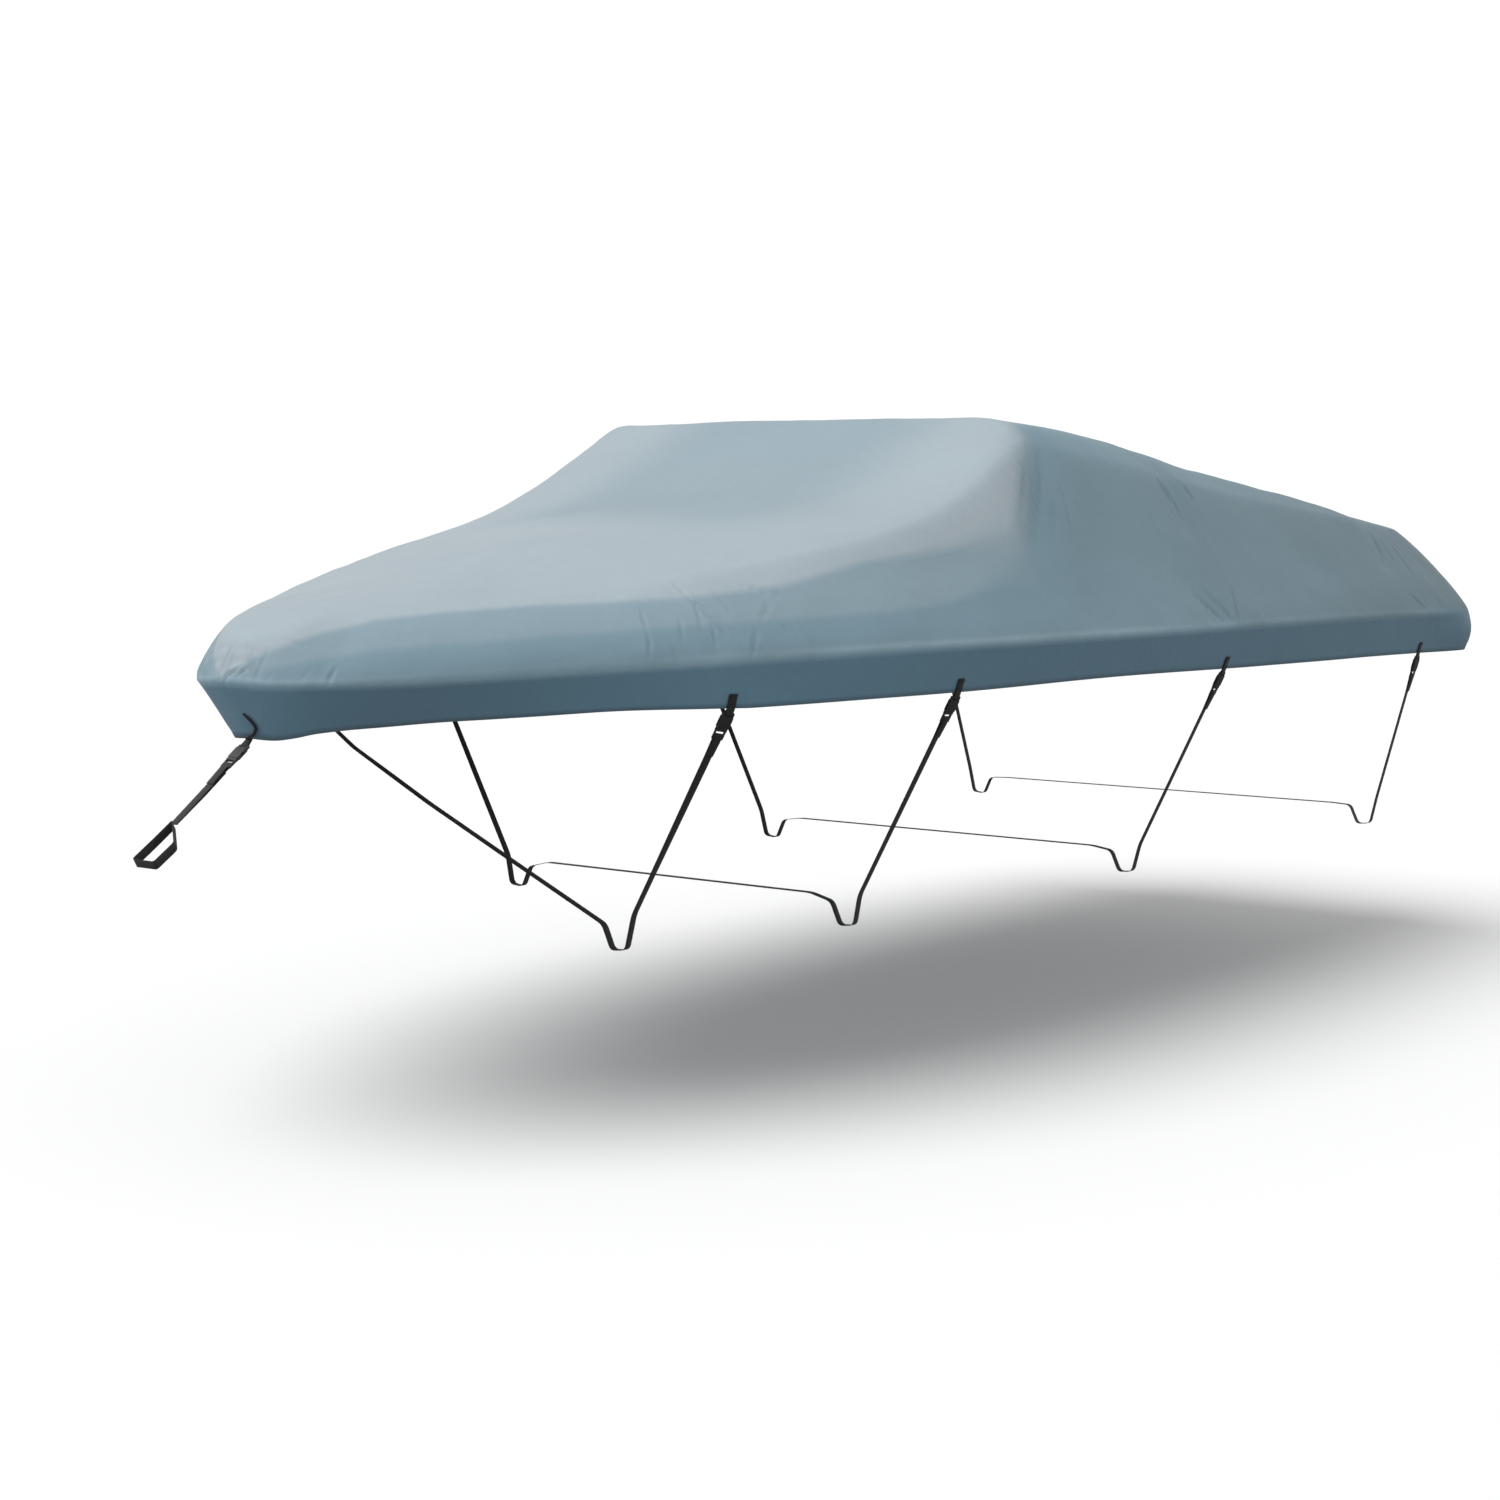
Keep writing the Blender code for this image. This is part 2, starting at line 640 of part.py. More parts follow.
def plug_mesh():
    body = plate(rounded_outline(PLUG_HALF, PLUG_FROM, PLUG_TO, 0.002), PLUG_THICK)
    steps = []
    for side in (-1, 1):
        prong = [
            (side * PRONG_IN, PLUG_FROM + 0.002),
            (side * PRONG_IN, BARB_FROM + 0.004),
            (side * (PRONG_IN + 0.005), BARB_FROM),
            (side * (PRONG_OUT + 0.001), BARB_FROM),
            (side * BARB_OUT, BARB_TO - 0.003),
            (side * BARB_OUT, BARB_TO),
            (side * PRONG_OUT, BARB_TO),
            (side * PRONG_OUT, PLUG_FROM + 0.002),
        ]
        if side > 0:
            prong.reverse()
        steps.append(("UNION", plate(prong[::-1], PRONG_THICK)))
        inner, outer = sorted((side * ARM_IN, side * (PLUG_HALF - 0.001)))
        steps.append(("UNION", box((inner, PLUG_TO - 0.002, -0.004), (outer, LADDER_TO, 0.004))))
    steps.append(("UNION", box((-GUIDE_HALF, GUIDE_FROM, -0.002), (GUIDE_HALF, PLUG_FROM + 0.002, 0.002))))
    steps.append(("UNION", bar(LADDER_BAR, ARM_IN + 0.002, BAR_RADIUS)))
    ladder_end = box((-PLUG_HALF + 0.001, LADDER_TO - 0.004, -0.0022), (PLUG_HALF - 0.001, LADDER_TO, 0.0022))
    steps.append(("UNION", ladder_end))
    return joined("plug", body, steps)


def placed(vertices, origin, across, down, facing, scale=(1.0, 1.0, 1.0)):
    """Buckle points carried to a place: local axes are across the strap, down it and outward."""
    vertices = np.asarray(vertices, float) * np.array(scale)
    return origin + vertices[:, :1] * across + vertices[:, 1:2] * down + vertices[:, 2:3] * facing


def half_turn(centre, down, facing, radius, pieces, side=1.0):
    """Points round a bar, from its outward face to its inward face, by way of its far side."""
    points = []
    for i in range(pieces + 1):
        turn = math.pi * i / pieces
        points.append(centre + facing * radius * math.cos(turn) + down * side * radius * math.sin(turn))
    return points


# ---------------------------------------------------------------- the pieces
def to_world(points):
    shift = np.array([ORIGIN_AFT, 0.0, ORIGIN_UP])
    return np.asarray(points, float) - shift


def enclosed(vertices, faces):
    """Signed volume, negative where the faces are wound inwards."""
    total = 0.0
    for face in faces:
        for second, third in zip(face[1:], face[2:]):
            total += float(np.dot(vertices[face[0]], np.cross(vertices[second], vertices[third]))) / 6.0
    return total


def add_piece(name, vertices, faces, made_of):
    vertices = to_world(vertices)
    if enclosed(vertices, faces) < 0.0:
        faces = [tuple(reversed(face)) for face in faces]
    return add_object(name, vertices, faces, made_of)


def hem_frame(along, side):
    """Hem point with the direction aft, the direction up the skirt and the outward normal there."""
    place = np.array([along])
    hem = skirt_point(place, np.ones(1))[0]
    fold = gunwale(place)[0]
    edge = skirt_point(np.array([along - 0.026, along + 0.026]), np.ones(2))
    aft = unit(edge[1] - edge[0])
    hem = edge.mean(axis=0)
    rise = unit(fold - hem)
    outward = unit(np.cross(rise, aft))
    if outward[1] < 0.0:
        outward = -outward
    flip = np.array([1.0, side, 1.0])
    return hem * flip, aft * flip, rise * flip, outward * flip


def build_strap(number, row, stuff, socket, plug):
    along, top_out, top_up, foot_out, foot_up, inner_out, inner_up, cross_up = row
    hem, aft, rise, outward = hem_frame(along, -1.0)
    x = hem[0]
    layer = WEB + GAP
    low_bend = np.array([x, -top_out, top_up])
    bar_point = hem + outward * (GAP + WEB + GAP / 2) + unit(low_bend - hem) * 0.016
    down = unit(low_bend - bar_point)
    across = unit(aft - down * float(aft @ down))
    facing = unit(np.cross(down, across))
    if facing[1] > 0.0:
        facing = -facing
    turn = BAR_RADIUS * BUCKLE_SHAPE[1] + 0.0005 + WEB / 2
    label = "_" + str(number)

    # Tab: webbing folded round the socket's bar, both ends sewn to the skirt.
    outer_top = hem + rise * SEWN + outward * (GAP + WEB * 1.5 + GAP)
    outer_low = hem + outward * (GAP + WEB * 1.5 + GAP)
    inner_top = hem + rise * (SEWN - 0.004) + outward * (GAP + WEB / 2)
    inner_low = hem + outward * (GAP + WEB / 2)
    bend = half_turn(bar_point, down, facing, turn, 6)
    path = [outer_top, outer_low] + bend + [inner_low, inner_top]
    wide = [aft, aft] + [across] * len(bend) + [aft, aft]
    add_piece("hem_tab" + label, *ribbon(path, wide, STRAP_WIDTH, WEB), stuff["webbing"])

    # Buckle.
    for name, (vertices, faces) in (("buckle_socket", socket), ("buckle_plug", plug)):
        moved = placed(vertices, bar_point, across, down, facing, BUCKLE_SHAPE)
        add_piece(name + label, moved, faces, stuff["buckle"])

    # Strap: free end, round the ladder bar, down to its lowest bend and across to the far hem.
    ladder = bar_point + down * LADDER_BAR * BUCKLE_SHAPE[1]
    tail_near = ladder + down * 0.020 + facing * (turn + 0.0002)
    tail_end = ladder + down * (0.020 + TAIL) + facing * (layer * 0.75)
    loop = half_turn(ladder, down, facing, turn, 6, side=-1.0)
    leave = ladder + down * 0.020 - facing * (turn + 0.0002)
    settle = ladder + down * (0.020 + TAIL) - facing * (layer * 0.75)
    corners = [settle, low_bend, (x, -foot_out, foot_up), (x, -inner_out, inner_up)]
    far_hem, far_aft, far_rise, far_outward = hem_frame(along, 1.0)
    far_lift = far_outward * (GAP + WEB / 2 + 0.0004)
    sewn_low = far_hem + far_lift - far_rise * 0.004
    sewn_top = far_hem + far_lift + far_rise * SEWN
    corners.append((x, -(inner_out - 0.032), inner_up + 0.070))
    if number == 1:
        for out, up in RISE:
            corners.append((x, out, up))
    else:
        corners.append((x, -(inner_out - 0.110), cross_up))
        corners.append((x, inner_out - 0.110, cross_up))
        corners.append((x, inner_out - 0.032, inner_up + 0.070))
        corners.append((x, inner_out, inner_up))
        corners.append((x, foot_out, foot_up))
        corners.append((x, top_out, top_up))
    corners.append(sewn_low)
    corners.append(sewn_top)
    route = rounded(corners, 0.016, 2)
    path = np.array([tail_end, tail_near] + loop + [leave] + list(route))
    # The band lies square to the hem at both ends and square to the centreline in between.
    run = np.concatenate([[0.0], np.cumsum(np.linalg.norm(np.diff(path, axis=0), axis=1))])
    near = np.clip(1.0 - (run - run[len(loop) + 3]) / 0.45, 0.0, 1.0)[:, None]
    far = np.clip(1.0 - (run[-1] - SEWN - run) / 0.45, 0.0, 1.0)[:, None]
    straight = np.array([1.0, 0.0, 0.0])
    wide = near * across + far * far_aft + (1.0 - near) * (1.0 - far) * straight
    add_piece("tie_strap" + label, *ribbon(path, wide, STRAP_WIDTH, WEB), stuff["webbing"])
    return float(run[-1])


def tube(path, radius, sides=8):
    path = np.asarray(path, float)
    vertices = []
    reference = np.array([1.0, 0.0, 0.3])
    for i in range(len(path)):
        along = unit(path[min(i + 1, len(path) - 1)] - path[max(i - 1, 0)])
        first = unit(reference - along * float(reference @ along))
        second = np.cross(along, first)
        reference = first
        for k in range(sides):
            turn = 2.0 * math.pi * k / sides
            vertices.append(path[i] + radius * (math.cos(turn) * first + math.sin(turn) * second))
    faces = []
    for i in range(len(path) - 1):
        for k in range(sides):
            m = (k + 1) % sides
            faces.append((i * sides + k, i * sides + m, (i + 1) * sides + m, (i + 1) * sides + k))
    faces.append(tuple(reversed(range(sides))))
    last = (len(path) - 1) * sides
    faces.append(tuple(range(last, last + sides)))
    return vertices, faces


def skirt_outside(along, share, side, lift):
    """A point off the outside of the skirt, for the bow eye."""
    near = 0.02
    here = skirt_point(np.array([along]), np.array([share]))[0]
    ahead = skirt_point(np.array([along + near]), np.array([share]))[0]
    above = skirt_point(np.array([along]), np.array([share - near]))[0]
    normal = unit(np.cross(above - here, ahead - here))
    if normal[1] < 0.0:
        normal = -normal
    point = here + normal * lift
    return point * np.array([1.0, side, 1.0])


def build_bow(stuff, socket, plug):
    start = np.array([BOW_BAR[0], 0.0, BOW_BAR[1]])
    apex = np.array([BOW_APEX[0], 0.0, BOW_APEX[1]])
    down = unit(apex - start)
    across = np.array([0.0, 1.0, 0.0])
    facing = unit(np.cross(down, across))
    if facing[0] > 0.0:
        facing = -facing
    turn = BAR_RADIUS * BUCKLE_SHAPE[1] + 0.0005 + WEB / 2
    layer = WEB + GAP

    # Tab: webbing folded round the socket's bar, both ends sewn inside the stem.
    hem = skirt_point(np.zeros(1), np.ones(1))[0]
    above = skirt_point(np.zeros(1), np.zeros(1))[0]
    rise = unit(above - hem)
    inside = unit(np.cross(rise, across))
    if inside[0] < 0.0:
        inside = -inside
    first = hem + inside * (CLOTH + 0.0023)
    second = first + inside * layer
    path = [first + rise * 0.030, first - rise * 0.005] + half_turn(start, down, facing, turn, 6)
    path = path + [second - rise * 0.004, second + rise * 0.027]
    add_piece("bow_tab", *ribbon(path, across, BOW_STRAP_WIDTH, WEB), stuff["webbing"])

    # Draw cord of the hem: comes out on the port skirt and bends forward to the foot of the stem.
    lift = CORD_RADIUS + 0.0008
    path = [skirt_outside(a, s, -1.0, lift) for a, s in CORD_PATH]
    path.append(hem - inside * (lift + 0.0012) + rise * 0.004)
    path = rounded(path, 0.008, 2)
    add_piece("hem_cord", *tube(path, CORD_RADIUS), stuff["cord"])

    for name, (vertices, faces) in (("bow_buckle_socket", socket), ("bow_buckle_plug", plug)):
        moved = placed(vertices, start, across, down, facing, BUCKLE_SHAPE)
        add_piece(name, moved, faces, stuff["bow_buckle"])

    # Strap: free end, round the ladder bar and down to the sling.
    ladder = start + down * LADDER_BAR * BUCKLE_SHAPE[1]
    loop = half_turn(ladder, down, facing, turn, 6, side=-1.0)
    tail_near = ladder + down * 0.020 + facing * (turn + 0.0002)
    tail_end = ladder + down * 0.078 + facing * (layer * 0.75)
    leave = ladder + down * 0.020 - facing * (turn + 0.0002)
    settle = ladder + down * 0.078 - facing * (layer * 0.75)
    foot = apex - down * 0.0030 - facing * (layer * 0.5)
    fold = half_turn(foot - facing * (layer * 0.5), down, facing, layer * 0.5, 4)
    slack = apex - down * 0.120 - facing * (layer * 1.6 + PLY_SLACK)
    back = ladder + down * 0.026 - facing * (turn + layer * 1.4)
    path = [tail_end, tail_near] + loop + [leave, settle] + fold + [slack, back]
    add_piece("bow_strap", *ribbon(path, across, BOW_STRAP_WIDTH, WEB), stuff["webbing"])

    # Sling: a closed, nearly square band, drawn to a point where the strap is sewn to it.
    axis = unit((SLING_AXIS[0], 0.0, SLING_AXIS[1]))
    tip = foot - facing * (layer * 0.5) + down * (layer * 0.5 + WEB - 0.0006)
    corners = [
        tip,
        np.array([SLING_BACK[0], -SLING_HALF, SLING_BACK[1]]),
        np.array([SLING_FRONT[0], -SLING_HALF, SLING_FRONT[1]]),
        np.array([SLING_FRONT[0], SLING_HALF, SLING_FRONT[1]]),
        np.array([SLING_BACK[0], SLING_HALF, SLING_BACK[1]]),
    ]
    count = len(corners)
    ring = []
    for i in range(count):
        before, here, after = corners[i - 1], corners[i], corners[(i + 1) % count]
        ring.extend(rounded([before, here, after], 0.003 if i == 0 else 0.008, 3)[1:-1])
    add_piece("bow_sling", *ribbon(ring, axis, BOW_STRAP_WIDTH, WEB, closed=True), stuff["webbing"])


def build():
    clear_scene()
    stuff = {
        "cloth": material("cover_cloth", (0.26, 0.38, 0.45), 0.75),
        "webbing": material("webbing", (0.012, 0.012, 0.013), 0.7),
        "cord": material("bow_cord", (0.010, 0.011, 0.015), 0.6),
        "buckle": material("buckle_plastic", (0.02, 0.02, 0.022), 0.4),
        "bow_buckle": material("bow_buckle_plastic", (0.03, 0.03, 0.033), 0.4),
    }
    vertices, faces = build_cover()
    add_piece("cover_cloth", vertices, faces, stuff["cloth"])
    socket = socket_mesh()
    plug = plug_mesh()
    for number, row in enumerate(STRAPS, start=1):
        build_strap(number, row, stuff, socket, plug)
    build_bow(stuff, socket, plug)


# Underside of the cloth above the origin.
ORIGIN_UP = float(roof_height(np.array([ORIGIN_AFT]), np.array([0.0]))[0]) - CLOTH - 0.004

build()
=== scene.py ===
"""Looks of the fitted cover: finer cloth with its creases, webbing, buckles, light and camera.
Metres, in the part's own frame: +X towards the stern, +Y to starboard, +Z up."""

import math

import bpy
import numpy as np
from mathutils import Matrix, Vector


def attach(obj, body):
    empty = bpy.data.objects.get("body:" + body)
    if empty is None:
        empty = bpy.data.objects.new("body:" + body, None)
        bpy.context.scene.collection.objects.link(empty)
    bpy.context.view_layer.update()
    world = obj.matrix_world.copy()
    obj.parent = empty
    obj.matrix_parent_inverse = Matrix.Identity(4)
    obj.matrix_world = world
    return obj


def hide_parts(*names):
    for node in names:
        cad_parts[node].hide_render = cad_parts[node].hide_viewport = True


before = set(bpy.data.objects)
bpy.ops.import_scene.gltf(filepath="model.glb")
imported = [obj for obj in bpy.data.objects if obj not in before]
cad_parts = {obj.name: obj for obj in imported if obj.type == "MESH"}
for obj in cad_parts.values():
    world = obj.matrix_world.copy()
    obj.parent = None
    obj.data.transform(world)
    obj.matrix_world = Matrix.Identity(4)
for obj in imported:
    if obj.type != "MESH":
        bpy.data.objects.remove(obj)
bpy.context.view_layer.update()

# ---------------------------------------------------------------- named sizes
CLOTH = 0.0020            # thickness of the coated cover cloth
WEB = 0.0016              # thickness of all webbing
STRAP_WIDTH = 0.025       # tie-down webbing
BOW_STRAP_WIDTH = 0.025   # bow webbing and its sling
PLY_SLACK = 0.0035        # how far the second ply of the bow strap stands off in the middle
CORD_RADIUS = 0.0042      # draw cord of the hem, where it shows at the stem
SEWN = 0.045              # length of webbing sewn flat on the skirt
GAP = 0.0005              # air between webbing and cloth
TAIL = 0.048              # free end of webbing below a buckle
RIDGE_BLEND = 0.055       # half width over which the long ridges of the roof are softened
CROSS_BLEND = 0.040       # the same for the crease that runs from side to side
ORIGIN_AFT = 2.55         # origin, behind the bow tip
SPINE_FROM = 0.40         # aft position where the rows of cloth meet on the centreline
SPINE_TO = 5.05
SPINE_EVEN = 0.07         # share of those rows' places that is even along the gunwale fold
SHARP_ANGLE = math.radians(40.0)
LAYER = WEB + GAP         # from one ply of webbing to the next

# Outline of the gunwale fold, bow to stern, half of the cover: aft, out, up from the stern's hem.
GUNWALE = (
    (0.000, 0.000, 0.122),
    (0.018, 0.085, 0.117),
    (0.075, 0.180, 0.113),
    (0.190, 0.305, 0.113),
    (0.380, 0.470, 0.121),
    (0.680, 0.695, 0.140),
    (1.080, 0.910, 0.158),
    (1.580, 1.065, 0.171),
    (2.180, 1.145, 0.174),
    (2.900, 1.170, 0.172),
    (3.600, 1.165, 0.171),
    (4.300, 1.150, 0.167),
    (4.900, 1.130, 0.158),
    (5.284, 1.112, 0.150),
    (5.454, 1.060, 0.147),
    (5.524, 0.930, 0.146),
    (5.544, 0.500, 0.146),
    (5.544, 0.000, 0.146),
)

# Skirt below the fold: aft, how far the hem is drawn in, how far it hangs down, and how far the
# cloth between them bellies out.
SKIRT = (
    (0.000, 0.087, 0.152, 0.000),
    (0.035, 0.088, 0.149, 0.000),
    (0.110, 0.110, 0.131, 0.000),
    (0.220, 0.124, 0.119, 0.000),
    (0.400, 0.108, 0.112, 0.000),
    (0.680, 0.070, 0.112, 0.000),
    (1.000, 0.052, 0.126, 0.000),
    (1.100, 0.052, 0.131, 0.000),
    (1.800, 0.052, 0.136, 0.000),
    (2.600, 0.052, 0.131, 0.000),
    (3.600, 0.052, 0.144, 0.000),
    (4.300, 0.050, 0.149, 0.000),
    (5.000, 0.043, 0.149, 0.000),
    (5.300, 0.026, 0.148, 0.010),
    (5.450, 0.012, 0.147, 0.017),
    (5.544, 0.012, 0.146, 0.017),
)

# Roof sections: aft, height of the long ridge, extra height of the crown between the ridges, place
# of the ridge as a share of the half beam, height of the shoulder above the gunwale fold, width of
# the rounded side inside the fold, and how full that rounding is (1 flat, 2 round).
ROOF = (
    (0.000, 0.227, 0.000, 0.50, 0.05, 0.100, 2.00),
    (0.300, 0.302, 0.010, 0.50, 0.12, 0.140, 2.00),
    (0.650, 0.339, 0.030, 0.55, 0.16, 0.180, 1.80),
    (1.000, 0.397, 0.050, 0.62, 0.18, 0.200, 1.55),
    (1.400, 0.458, 0.060, 0.70, 0.20, 0.220, 1.38),
    (1.850, 0.538, 0.050, 0.76, 0.22, 0.240, 1.30),
    (2.150, 0.645, 0.040, 0.76, 0.24, 0.260, 1.28),
    (2.420, 0.796, 0.011, 0.735, 0.26, 0.280, 1.28),
    (2.500, 0.847, 0.003, 0.715, 0.26, 0.280, 1.28),
    (2.650, 0.825, 0.005, 0.70, 0.26, 0.280, 1.28),
    (3.100, 0.783, 0.020, 0.68, 0.26, 0.280, 1.28),
    (3.700, 0.697, 0.030, 0.66, 0.25, 0.280, 1.28),
    (4.300, 0.632, 0.030, 0.64, 0.24, 0.280, 1.28),
    (4.800, 0.576, 0.030, 0.62, 0.24, 0.280, 1.30),
    (5.150, 0.522, 0.030, 0.62, 0.24, 0.286, 1.31),
    (5.544, 0.477, 0.020, 0.62, 0.24, 0.300, 1.31),
)

# Main folds, as lines on the cloth: along and girth at both ends, half width and depth. "along"
# runs down the gunwale fold from the bow, negative to port, "girth" up the cloth from that fold. A
# positive depth is a trough, a negative one a ridge.
FOLDS = (
    (-2.59, 0.34, -2.90, 0.72, 0.100, -0.006),
    (-2.95, 0.66, -2.72, 0.33, 0.080, 0.010),
    (-1.85, 0.25, -2.54, 0.31, 0.110, 0.009),
    (-1.28, 0.30, -1.36, 0.07, 0.070, 0.008),
    (-1.14, 0.20, -1.14, 0.05, 0.070, -0.006),
    (-0.02, 0.03, -0.01, 0.18, 0.045, 0.006),
    (-0.10, 0.01, -0.10, 0.16, 0.050, 0.007),
    (-0.16, 0.02, -0.20, 0.20, 0.060, -0.006),
    (-0.28, 0.01, -0.34, 0.18, 0.070, 0.006),
    (-3.74, 0.58, -3.72, 0.38, 0.080, 0.010),
    (-3.50, 0.16, -3.66, 0.03, 0.090, 0.009),
    (-5.46, 0.46, -5.26, 0.24, 0.090, 0.010),
    (-4.45, 0.10, -5.50, 0.16, 0.100, -0.008),
    (2.60, 0.34, 2.90, 0.72, 0.100, -0.012),
    (2.96, 0.64, 2.74, 0.30, 0.080, 0.009),
    (1.40, 0.28, 1.30, 0.08, 0.075, 0.008),
    (0.05, 0.02, 0.04, 0.18, 0.050, 0.006),
    (0.22, 0.02, 0.28, 0.18, 0.060, -0.006),
    (3.30, 0.50, 3.40, 0.28, 0.090, 0.009),
    (4.30, 0.30, 4.12, 0.06, 0.090, 0.010),
    (5.40, 0.42, 5.20, 0.20, 0.090, 0.009),
    (6.30, 0.34, 6.22, 0.10, 0.090, 0.008),
    (-6.40, 0.30, -6.50, 0.08, 0.090, 0.008),
)

# Slow unevenness of the slack cloth: waves a metre along the fold and up the cloth, phase, height.
SLACK = (
    (0.90, 0.70, 0.40, 0.0030),
    (1.70, -1.30, 2.10, 0.0022),
    (2.60, 1.90, 4.30, 0.0014),
)

# Tie-down straps: station along the gunwale fold, then the three bends of the webbing below the
# cover (each out from the centreline and up from the stern's hem), and the level at which it
# crosses to the other side.
STRAPS = (
    (1.388, 0.496, -0.565, 0.470, -0.667, 0.418, -0.672, -0.585),
    (2.210, 0.714, -0.582, 0.696, -0.674, 0.644, -0.679, -0.590),
    (3.713, 0.812, -0.579, 0.787, -0.671, 0.735, -0.676, -0.595),
    (5.329, 0.932, -0.552, 0.908, -0.654, 0.856, -0.659, -0.585),
)
CLIMB_IN = 0.032          # from the third bend the webbing climbs so far in
CLIMB_UP = 0.070          # and up
CROSS_IN = 0.110          # then crosses from so far inside that bend
TWIST = 0.45              # length over which it turns from the way of its hem to straight across

# The foremost strap rises straight to the far hem: out to starboard, up.
RISE = (
    (-0.068, -0.467),
    (0.300, -0.309),
    (0.620, -0.160),
    (0.790, -0.055),
)

# Bow strap, on the centreline: bar of the buckle, apex of the sling, and the corners of the square
# loop that the sling makes.
BOW_BAR = (0.074, -0.051)
BOW_APEX = (-0.165, -0.230)
SLING_BACK = (-0.192, -0.280)
SLING_FRONT = (-0.257, -0.322)
SLING_HALF = 0.041
SLING_AXIS = (0.467, -0.884)

# Draw cord on the port skirt near the stem: place along the hem line, share of the skirt's depth.
CORD_PATH = (
    (0.040, 0.52),
    (0.058, 0.62),
    (0.070, 0.76),
    (0.050, 0.90),
)

# Side-release buckles, and the webbing round their bars. The ladder bar is down the strap from the
# fixed one.
BUCKLE_STRETCH = 0.97     # of the buckle's plain sizes, along the strap
BAR_RADIUS = 0.0025
BAR_TURN = BAR_RADIUS * BUCKLE_STRETCH + 0.0005 + WEB / 2
LADDER_DOWN = 0.0700 * BUCKLE_STRETCH
BAR_BELOW_HEM = 0.016
MEET = 0.020              # below the ladder bar, where the two plies come together
BOW_TAIL = 0.078          # free end of the bow webbing below the ladder bar
EASED_EDGE = 0.0009       # rounding of the mouldings' edges
WEB_EDGE = 0.0008         # rounding of the webbing's edges

# Bar-tacks. Their threads end a little past both edges of the webbing.
TACK_LENGTH = 0.006
TACK_WIDTH = 0.030
TACK_THREADS = 9
THREAD = 0.00035

# ---------------------------------------------------------------- sizes of the finer cloth
# Columns along the half outline: from, to (metres along the gunwale fold) and how many, all even.
FINE_SPACING = (
    (0.00, 0.36, 64),
    (0.36, 1.08, 28),
    (1.08, 1.66, 84),
    (1.66, 2.56, 28),
    (2.56, 3.02, 60),
    (3.02, 3.46, 20),
    (3.46, 3.94, 64),
    (3.94, 5.16, 32),
    (5.16, 5.52, 36),
    (5.52, 6.08, 30),
    (6.08, 9.00, 18),
)
FINE_SKIRT = 8            # rows of the outer skin from hem to gunwale fold
FINE_TOP = 80             # rows from the gunwale fold to the centreline
FINE_POWER = 1.25
LINING_STEP = 4           # outer rows and columns for each of the underside
LINING_LIFT = 0.0060      # distance of the coarser underside of the cloth from the outer skin
FOLD_SHARE = 0.45         # of the main folds' depth, where the finer creases do the rest
SKIRT_STITCH = 0.022      # the hem's stitch line above its edge

SKIRT_WAVE = 0.0006       # height of the skirt's own slow wave
STITCH_DEPTH = 0.0009     # groove along the stitch line
STITCH_HALF = 0.004

